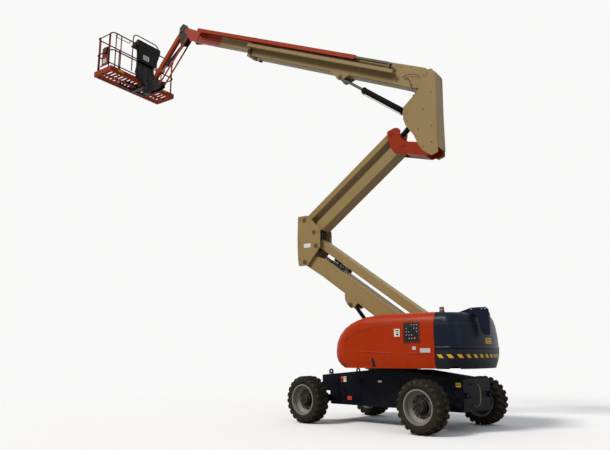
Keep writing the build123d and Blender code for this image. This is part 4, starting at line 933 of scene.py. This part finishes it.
make("boom_bolts", "base_boom", zinc, *side_heads(BASE_BOLTS, 0.156, 0.013, 0.008, on_boom))

# The carrier's line along the boom: its anchor, its half circle's centre and radius, and each run's height.
ANCHOR_X, LOOP_X, LOOP_R, LOOP_Z, UPPER_Z, LOWER_Z = 2.85, 0.921, 0.068, -0.004, 0.064, -0.072
UPPER_RUN = 1.929
LINK_PITCH, LINK_LONG, LINK_END, LINK_HALF_HIGH = 0.0545, 0.012, 0.017, 0.0275
BAR_HALF_LONG, BAR_HALF_HIGH, BAR_Y = 0.009, 0.018, (0.224, 0.292)
LINK_PLATES = ((0.2185, 0.2245), (0.2915, 0.2975))


def chain_link(length):
    """One link at a length along the carrier's line: an upper run, a half circle, a lower run. Its plates
    are rounded oblongs turned to the line's direction, with a cross bar between them."""
    if length < UPPER_RUN:
        x, z, turn = ANCHOR_X - length, UPPER_Z, pi
    elif length < UPPER_RUN + pi * LOOP_R:
        t = pi / 2 + (length - UPPER_RUN) / LOOP_R
        x, z, turn = LOOP_X + LOOP_R * cos(t), LOOP_Z + LOOP_R * sin(t), t + pi / 2
    else:
        x, z, turn = LOOP_X + length - UPPER_RUN - pi * LOOP_R, LOWER_Z, 0.0
    t = 2 * pi * (np.arange(10) + 0.5) / 10
    along, square = LINK_LONG * np.sign(np.cos(t)) + LINK_END * np.cos(t), LINK_HALF_HIGH * np.sin(t)
    c, s = cos(turn), sin(turn)
    oblong = np.column_stack([x + along * c - square * s, z + along * s + square * c])
    left, right, low, high = x - BAR_HALF_LONG, x + BAR_HALF_LONG, z - BAR_HALF_HIGH, z + BAR_HALF_HIGH
    bar = plate([(left, low), (right, low), (right, high), (left, high)], *BAR_Y, on_boom)
    return [plate(oblong, y0, y1, on_boom) for y0, y1 in LINK_PLATES] + [bar]


FIRST_LINK, LOOP_RUN, LOWER_RUN = 0.03, 0.2136, 3.2
link_starts = np.arange(FIRST_LINK, UPPER_RUN + LOOP_RUN + LOWER_RUN, LINK_PITCH).tolist()
links = [shape for length in link_starts for shape in chain_link(length)]
make("carrier_links", "cable_carrier", chain_grey, *links[0::3], *links[1::3], replaces=("cable_carrier",))
make("carrier_bars", "cable_carrier", chain_dark, *links[2::3], replaces=("cable_carrier",))
CARRIER_HOSE = [
    (2.8, 0.066), (2.0, 0.066), (0.93, 0.066), (0.862, 0.03), (0.855, -0.006), (0.868, -0.044),
    (0.93, -0.072), (2.0, -0.072), (4.1, -0.072)]
make("carrier_hoses", "cable_carrier", hose_rubber,
     *hose_row(CARRIER_HOSE, (0.236, 0.258, 0.28), 0.011, on_boom, 10))
make("tray_rivets", "fly_boom", boom_orange,
     *[hex_head(on_boom([float(x), 0.3098, 0.06]), (0, 1, 0), 0.01, 0.006) for x in np.arange(2.0, 7.2, 0.4)])
FLY_TIP_BOLTS = ((7.3, -0.12), (7.3, 0.02), (7.45, -0.14), (7.45, 0.0), (7.6, -0.1))
make("fly_tip_bolts", "fly_boom", zinc, *side_heads(FLY_TIP_BOLTS, 0.128, 0.012, 0.01, on_boom))
FLY_HOSE = [(7.1, 0.1), (7.35, 0.122), (7.55, 0.11), (7.66, 0.095)]
make("fly_hoses", "fly_boom", hose_rubber, *hose_row(FLY_HOSE, (-0.05, -0.02, 0.02, 0.05), 0.012, on_boom))


def cylinder_trim(name, foot, eye, barrel, radius, tube_y):
    """On a barrel of that length and radius from the foot: a gland, a weld ring, two port blocks, and a steel
    tube along the underside."""
    body = name + "_barrel"
    angle = atan2(eye[1] - foot[1], eye[0] - foot[0])

    def place(p):
        return tilted(p, (foot[0], 0, foot[1]), angle)

    start, axis = place([0, 0, 0]), place([1, 0, 0]) - place([0, 0, 0])
    gland = [
        (radius + 0.006, barrel - 0.034), (radius + 0.01, barrel - 0.028), (radius + 0.01, barrel - 0.008),
        (radius + 0.004, barrel), (radius * 0.72, barrel + 0.004), (radius * 0.72, barrel - 0.034),
    ]
    weld = [(radius - 0.002, 0.09), (radius + 0.004, 0.094), (radius + 0.004, 0.104), (radius - 0.002, 0.108)]
    make(name + "_gland", body, part_black, lathe(gland, start, axis, 48), lathe(weld, start, axis, 48))
    ports = [
        bar_block((x, tube_y - 0.016, -radius - 0.02), (x + 0.04, tube_y + 0.016, -radius + 0.012), place)
        for x in (0.14, barrel - 0.1)
    ]
    make(name + "_ports", body, part_black, *ports, bevel=0.002)
    near, off = -radius - 0.012, -radius - 0.02
    line = [(0.16, near), (0.2, off), (barrel - 0.14, off), (barrel - 0.08, near)]
    make(name + "_tube", body, steel_pale, *hose_row(line, [tube_y], 0.009, place))


cylinder_trim("boom_cylinder", BOOM_CYL, BOOM_EYE, 1.39, 0.065, 0.03)
cylinder_trim("tower_cylinder", (-0.02, 1.25), TOWER_EYE, 0.96, 0.071, 0.0)
cylinder_trim("jib_cylinder", (6.424, 10.27), (7.309789, 9.648693), 0.82, 0.043, 0.0)

# ------------------------------------------------------------------ boom tip, jib and platform
TIP_PINS = (((JIB_PIN[0], JIB_PIN[2]), 0.03), ((6.188, 10.375), 0.024))
make("tip_pins", "boom_tip", zinc,
     *[head for spot, radius in TIP_PINS for head in side_pins([spot], 0.1, radius, 0.01)])
JIB_HOSE = [(0.16, 0.09), (0.5, 0.088), (0.9, 0.092), (1.3, 0.088), (1.52, 0.092)]
make("jib_hoses", "jib_boom", hose_rubber, *hose_row(JIB_HOSE, (-0.026, 0.0, 0.026), 0.01, on_jib))
make("jib_clips", "jib_boom", part_black,
     *[bar_block((x, -0.042, 0.074), (x + 0.02, 0.042, 0.104), on_jib) for x in (0.3, 0.7, 1.1, 1.45)],
     bevel=0.002)
SUPPORT_BOLTS = ((7.32, 9.18), (7.45, 9.14), (7.65, 9.45), (7.7, 9.2))
make("support_bolts", "platform_support", zinc, *side_heads(SUPPORT_BOLTS, 0.074, 0.012, 0.01))

low, high = (np.array(corner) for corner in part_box("platform_floor"))
x0, x1, half, z0 = low[0], high[0], high[1], low[2]
WALL, TOE_HIGH, GAP, CHANNEL = 0.005, 0.15, 0.004, 0.07  # toe board, play inside it, edge channel


def deck_box(x_low, x_high, y_low, y_high, top, lift=0.0):
    """A box on the deck's underside, lift above it, up to top."""
    return bar_block((x_low, y_low, z0 + lift), (x_high, y_high, z0 + top))


deck = [
    deck_box(x0, x0 + WALL, -half, half, TOE_HIGH), deck_box(x1 - WALL, x1, -half, half, TOE_HIGH),
    deck_box(x0, x1, half - WALL, half, TOE_HIGH), deck_box(x0, x1, -half, -half + WALL, TOE_HIGH),
    deck_box(x0 + GAP, x0 + CHANNEL, -half + GAP, half - GAP, 0.038),
    deck_box(x1 - CHANNEL, x1 - GAP, -half + GAP, half - GAP, 0.038),
    deck_box(x0 + 0.37, x0 + 0.43, -half + GAP, half - GAP, 0.038),
    deck_box(x0 + CHANNEL, x1 - CHANNEL, -0.06, 0.06, 0.036),
]
SLAT_ENDS, SLAT_HALF, SLATS_Y = 0.069, 0.028, np.arange(-1.15, 1.16, 0.1278)
deck += [
    deck_box(x0 + SLAT_ENDS, x1 - SLAT_ENDS, y - SLAT_HALF, y + SLAT_HALF, 0.034, 0.004) for y in SLATS_Y]
deck += [deck_box(x0 + SLAT_ENDS, x1 - SLAT_ENDS, y0, y1, 0.037)
         for y0, y1 in ((-half + GAP, -1.15), (1.15, half - GAP))]
make("platform_deck", "platform", deck_orange, *deck, bevel=0.0015, replaces=("platform_floor",))
TOE_LABELS = (((0.76, 9.505), (0.955, 9.56)), ((-0.92, 9.535), (-0.715, 9.578)))  # opposite corners, y and z
make("toe_labels", "platform", yellow_label,
     *[bar_block((x0 - 0.0022, *first), (x0 + 0.001, *last)) for first, last in TOE_LABELS])
make("toe_clamps", "platform", part_black,
     *[bar_block((x, y - 0.03, 9.575), (x + 0.045, y + 0.03, 9.605))
       for x in (x0 - 0.002, x1 - 0.0455) for y in (-1.08, -0.46, 0.3, 0.9)], bevel=0.003)
make("gate_label", "platform_gate", steel_pale, bar_block((8.4, 1.2035, 9.76), (8.56, 1.2065, 9.9)))
make("gate_box", "platform_gate", part_black,
     bar_block((8.36, 1.203, 10.06), (8.5, 1.245, 10.24)), bevel=0.008)

make("console_label", "platform", white_label, bar_block((8.0135, -0.045, 10.185), (8.024, 0.175, 10.335)))
make("console_print", "platform", part_black,
     *[bar_block((8.0125, -0.02, z), (8.0145, 0.15, z + 0.012)) for z in (10.215, 10.25, 10.285)])
make("console_band", "platform", part_black,
     bar_block((8.012, -0.455, 10.588), (8.03, 0.375, 10.606)), bevel=0.003)

LID_UP = (0.417, 0, 0.909)  # square to the lid's sloping face


def on_lid(profile, x, y, steps):
    """A turned piece on the lid, whose face falls 0.14 over 0.305 from 10.77 at x = 8.075."""
    return lathe(profile, (x, y, 10.77 - (x - 8.075) * (0.14 / 0.305)), LID_UP, steps)


SWITCH = [(0, -0.004), (0.012, -0.004), (0.012, 0.008), (0.005, 0.012), (0.004, 0.03), (0, 0.032)]
STICK = [
    (0, -0.004), (0.034, -0.004), (0.034, 0.004), (0.024, 0.02), (0.01, 0.034), (0.01, 0.075),
    (0.017, 0.082), (0.019, 0.115), (0.012, 0.124), (0, 0.126)]
STOP = [(0, -0.004), (0.02, -0.004), (0.02, 0.012), (0.03, 0.016), (0.03, 0.026), (0, 0.032)]
make("lid_switches", "platform", part_black,
     *[on_lid(SWITCH, x, y, 14) for x in (8.14, 8.2) for y in (-0.34, -0.22, -0.1, 0.14, 0.26)])
make("lid_sticks", "platform", hose_rubber, *[on_lid(STICK, 8.17, y, 24) for y in (-0.4, 0.02)])
make("lid_stop", "platform", red_label, on_lid(STOP, 8.26, 0.3, 28))
# Hoses under the console: x, a factor on each hose's own y, and z.
MOUNT_HOSE = ((8.105, 1, 10.1), (8.09, 1.15, 9.98), (8.085, 1.3, 9.8), (8.09, 1, 9.62), (8.1, 0.6, 9.45))
make("mount_hoses", "platform", hose_rubber,
     *[pipe(smooth_path([(x, y * spread, z) for x, spread, z in MOUNT_HOSE]), 0.01)
       for y in (-0.22, -0.12, 0.08, 0.2)])


# ------------------------------------------------------------------ stage
def stage_material(name):
    """Pale floor that fades into the backdrop between 5 and 16 m from the middle."""
    mat = bpy.data.materials.new(name)
    mat.use_nodes = True
    net = Net(mat.node_tree)
    mat.node_tree.nodes.clear()
    out, mixer = net.new("OutputMaterial"), net.new("MixShader")
    clear, floor_shader = net.new("BsdfTransparent"), net.new("BsdfDiffuse")
    coord = net.new("TexCoord").outputs["Object"]
    length = net.new("VectorMath", operation="LENGTH")
    net.link(coord, length.inputs[0])
    net.link(net.ramp(length.outputs["Value"], 5.0, 16.0), mixer.inputs[0])
    seen = net.new("LightPath").outputs["Is Camera Ray"]
    net.link(net.mix(seen, (0.4, 0.4, 0.4, 1), (0.93, 0.93, 0.93, 1)), floor_shader.inputs["Color"])
    net.link(floor_shader.outputs[0], mixer.inputs[1])
    net.link(clear.outputs[0], mixer.inputs[2])
    net.link(mixer.outputs[0], out.inputs["Surface"])
    return mat


FLOOR_R, FLOOR_Z, FLOOR_SIDES = 18, -0.002, 96
t = np.linspace(0, 2 * pi, FLOOR_SIDES, endpoint=False)
rim = np.column_stack([FLOOR_R * np.cos(t), FLOOR_R * np.sin(t), np.full(FLOOR_SIDES, FLOOR_Z)])
k = np.arange(FLOOR_SIDES)
floor_faces = np.stack([0 * k, 1 + k, 1 + (k + 1) % FLOOR_SIDES], -1).tolist()
mesh = bpy.data.meshes.new("floor")
mesh.from_pydata(np.vstack([[0, 0, FLOOR_Z], rim]).tolist(), [], floor_faces)
mesh.materials.append(stage_material("pale_floor"))
floor = bpy.data.objects.new("floor", mesh)
bpy.context.scene.collection.objects.link(floor)

world = bpy.data.worlds.new("studio")
bpy.context.scene.world = world
world.use_nodes = True
net = Net(world.node_tree)
world.node_tree.nodes.clear()
out = net.new("OutputWorld")
path = net.new("LightPath")
soft, seen, mixer = net.new("Background"), net.new("Background"), net.new("MixShader")
soft.inputs["Color"].default_value = (0.92, 0.95, 1.0, 1)
facing = net.new("SeparateXYZ")
net.link(net.new("TexCoord").outputs["Generated"], facing.inputs[0])
height = net.ramp(facing.outputs["Z"], -0.35, 0.7)
net.link(net.plus(0.21, net.times(height, 0.32)), soft.inputs["Strength"])
seen.inputs["Color"].default_value = (0.945, 0.945, 0.94, 1)
mirrored_or_through = net.math("MAXIMUM", path.outputs["Is Glossy Ray"], path.outputs["Is Transmission Ray"])
net.link(net.math("MAXIMUM", path.outputs["Is Camera Ray"], mirrored_or_through), mixer.inputs[0])
net.link(soft.outputs[0], mixer.inputs[1])
net.link(seen.outputs[0], mixer.inputs[2])
net.link(mixer.outputs[0], out.inputs["Surface"])


def sun(name, place, aim, energy, angle, colour=(1, 1, 1)):
    """A wide, soft sun that shines from a place towards a point."""
    data = bpy.data.lights.new(name, "SUN")
    data.energy, data.color, data.angle = energy, colour, angle
    obj = bpy.data.objects.new(name, data)
    bpy.context.scene.collection.objects.link(obj)
    obj.location = place
    obj.rotation_euler = (Vector(aim) - Vector(place)).to_track_quat("-Z", "Y").to_euler()


sun("key", (5, 11, 13), (0, 0, 1), 2.3, radians(16), (1.0, 0.96, 0.9))
sun("fill", (-14, 6, 9), (0, 0, 3), 0.35, radians(40))
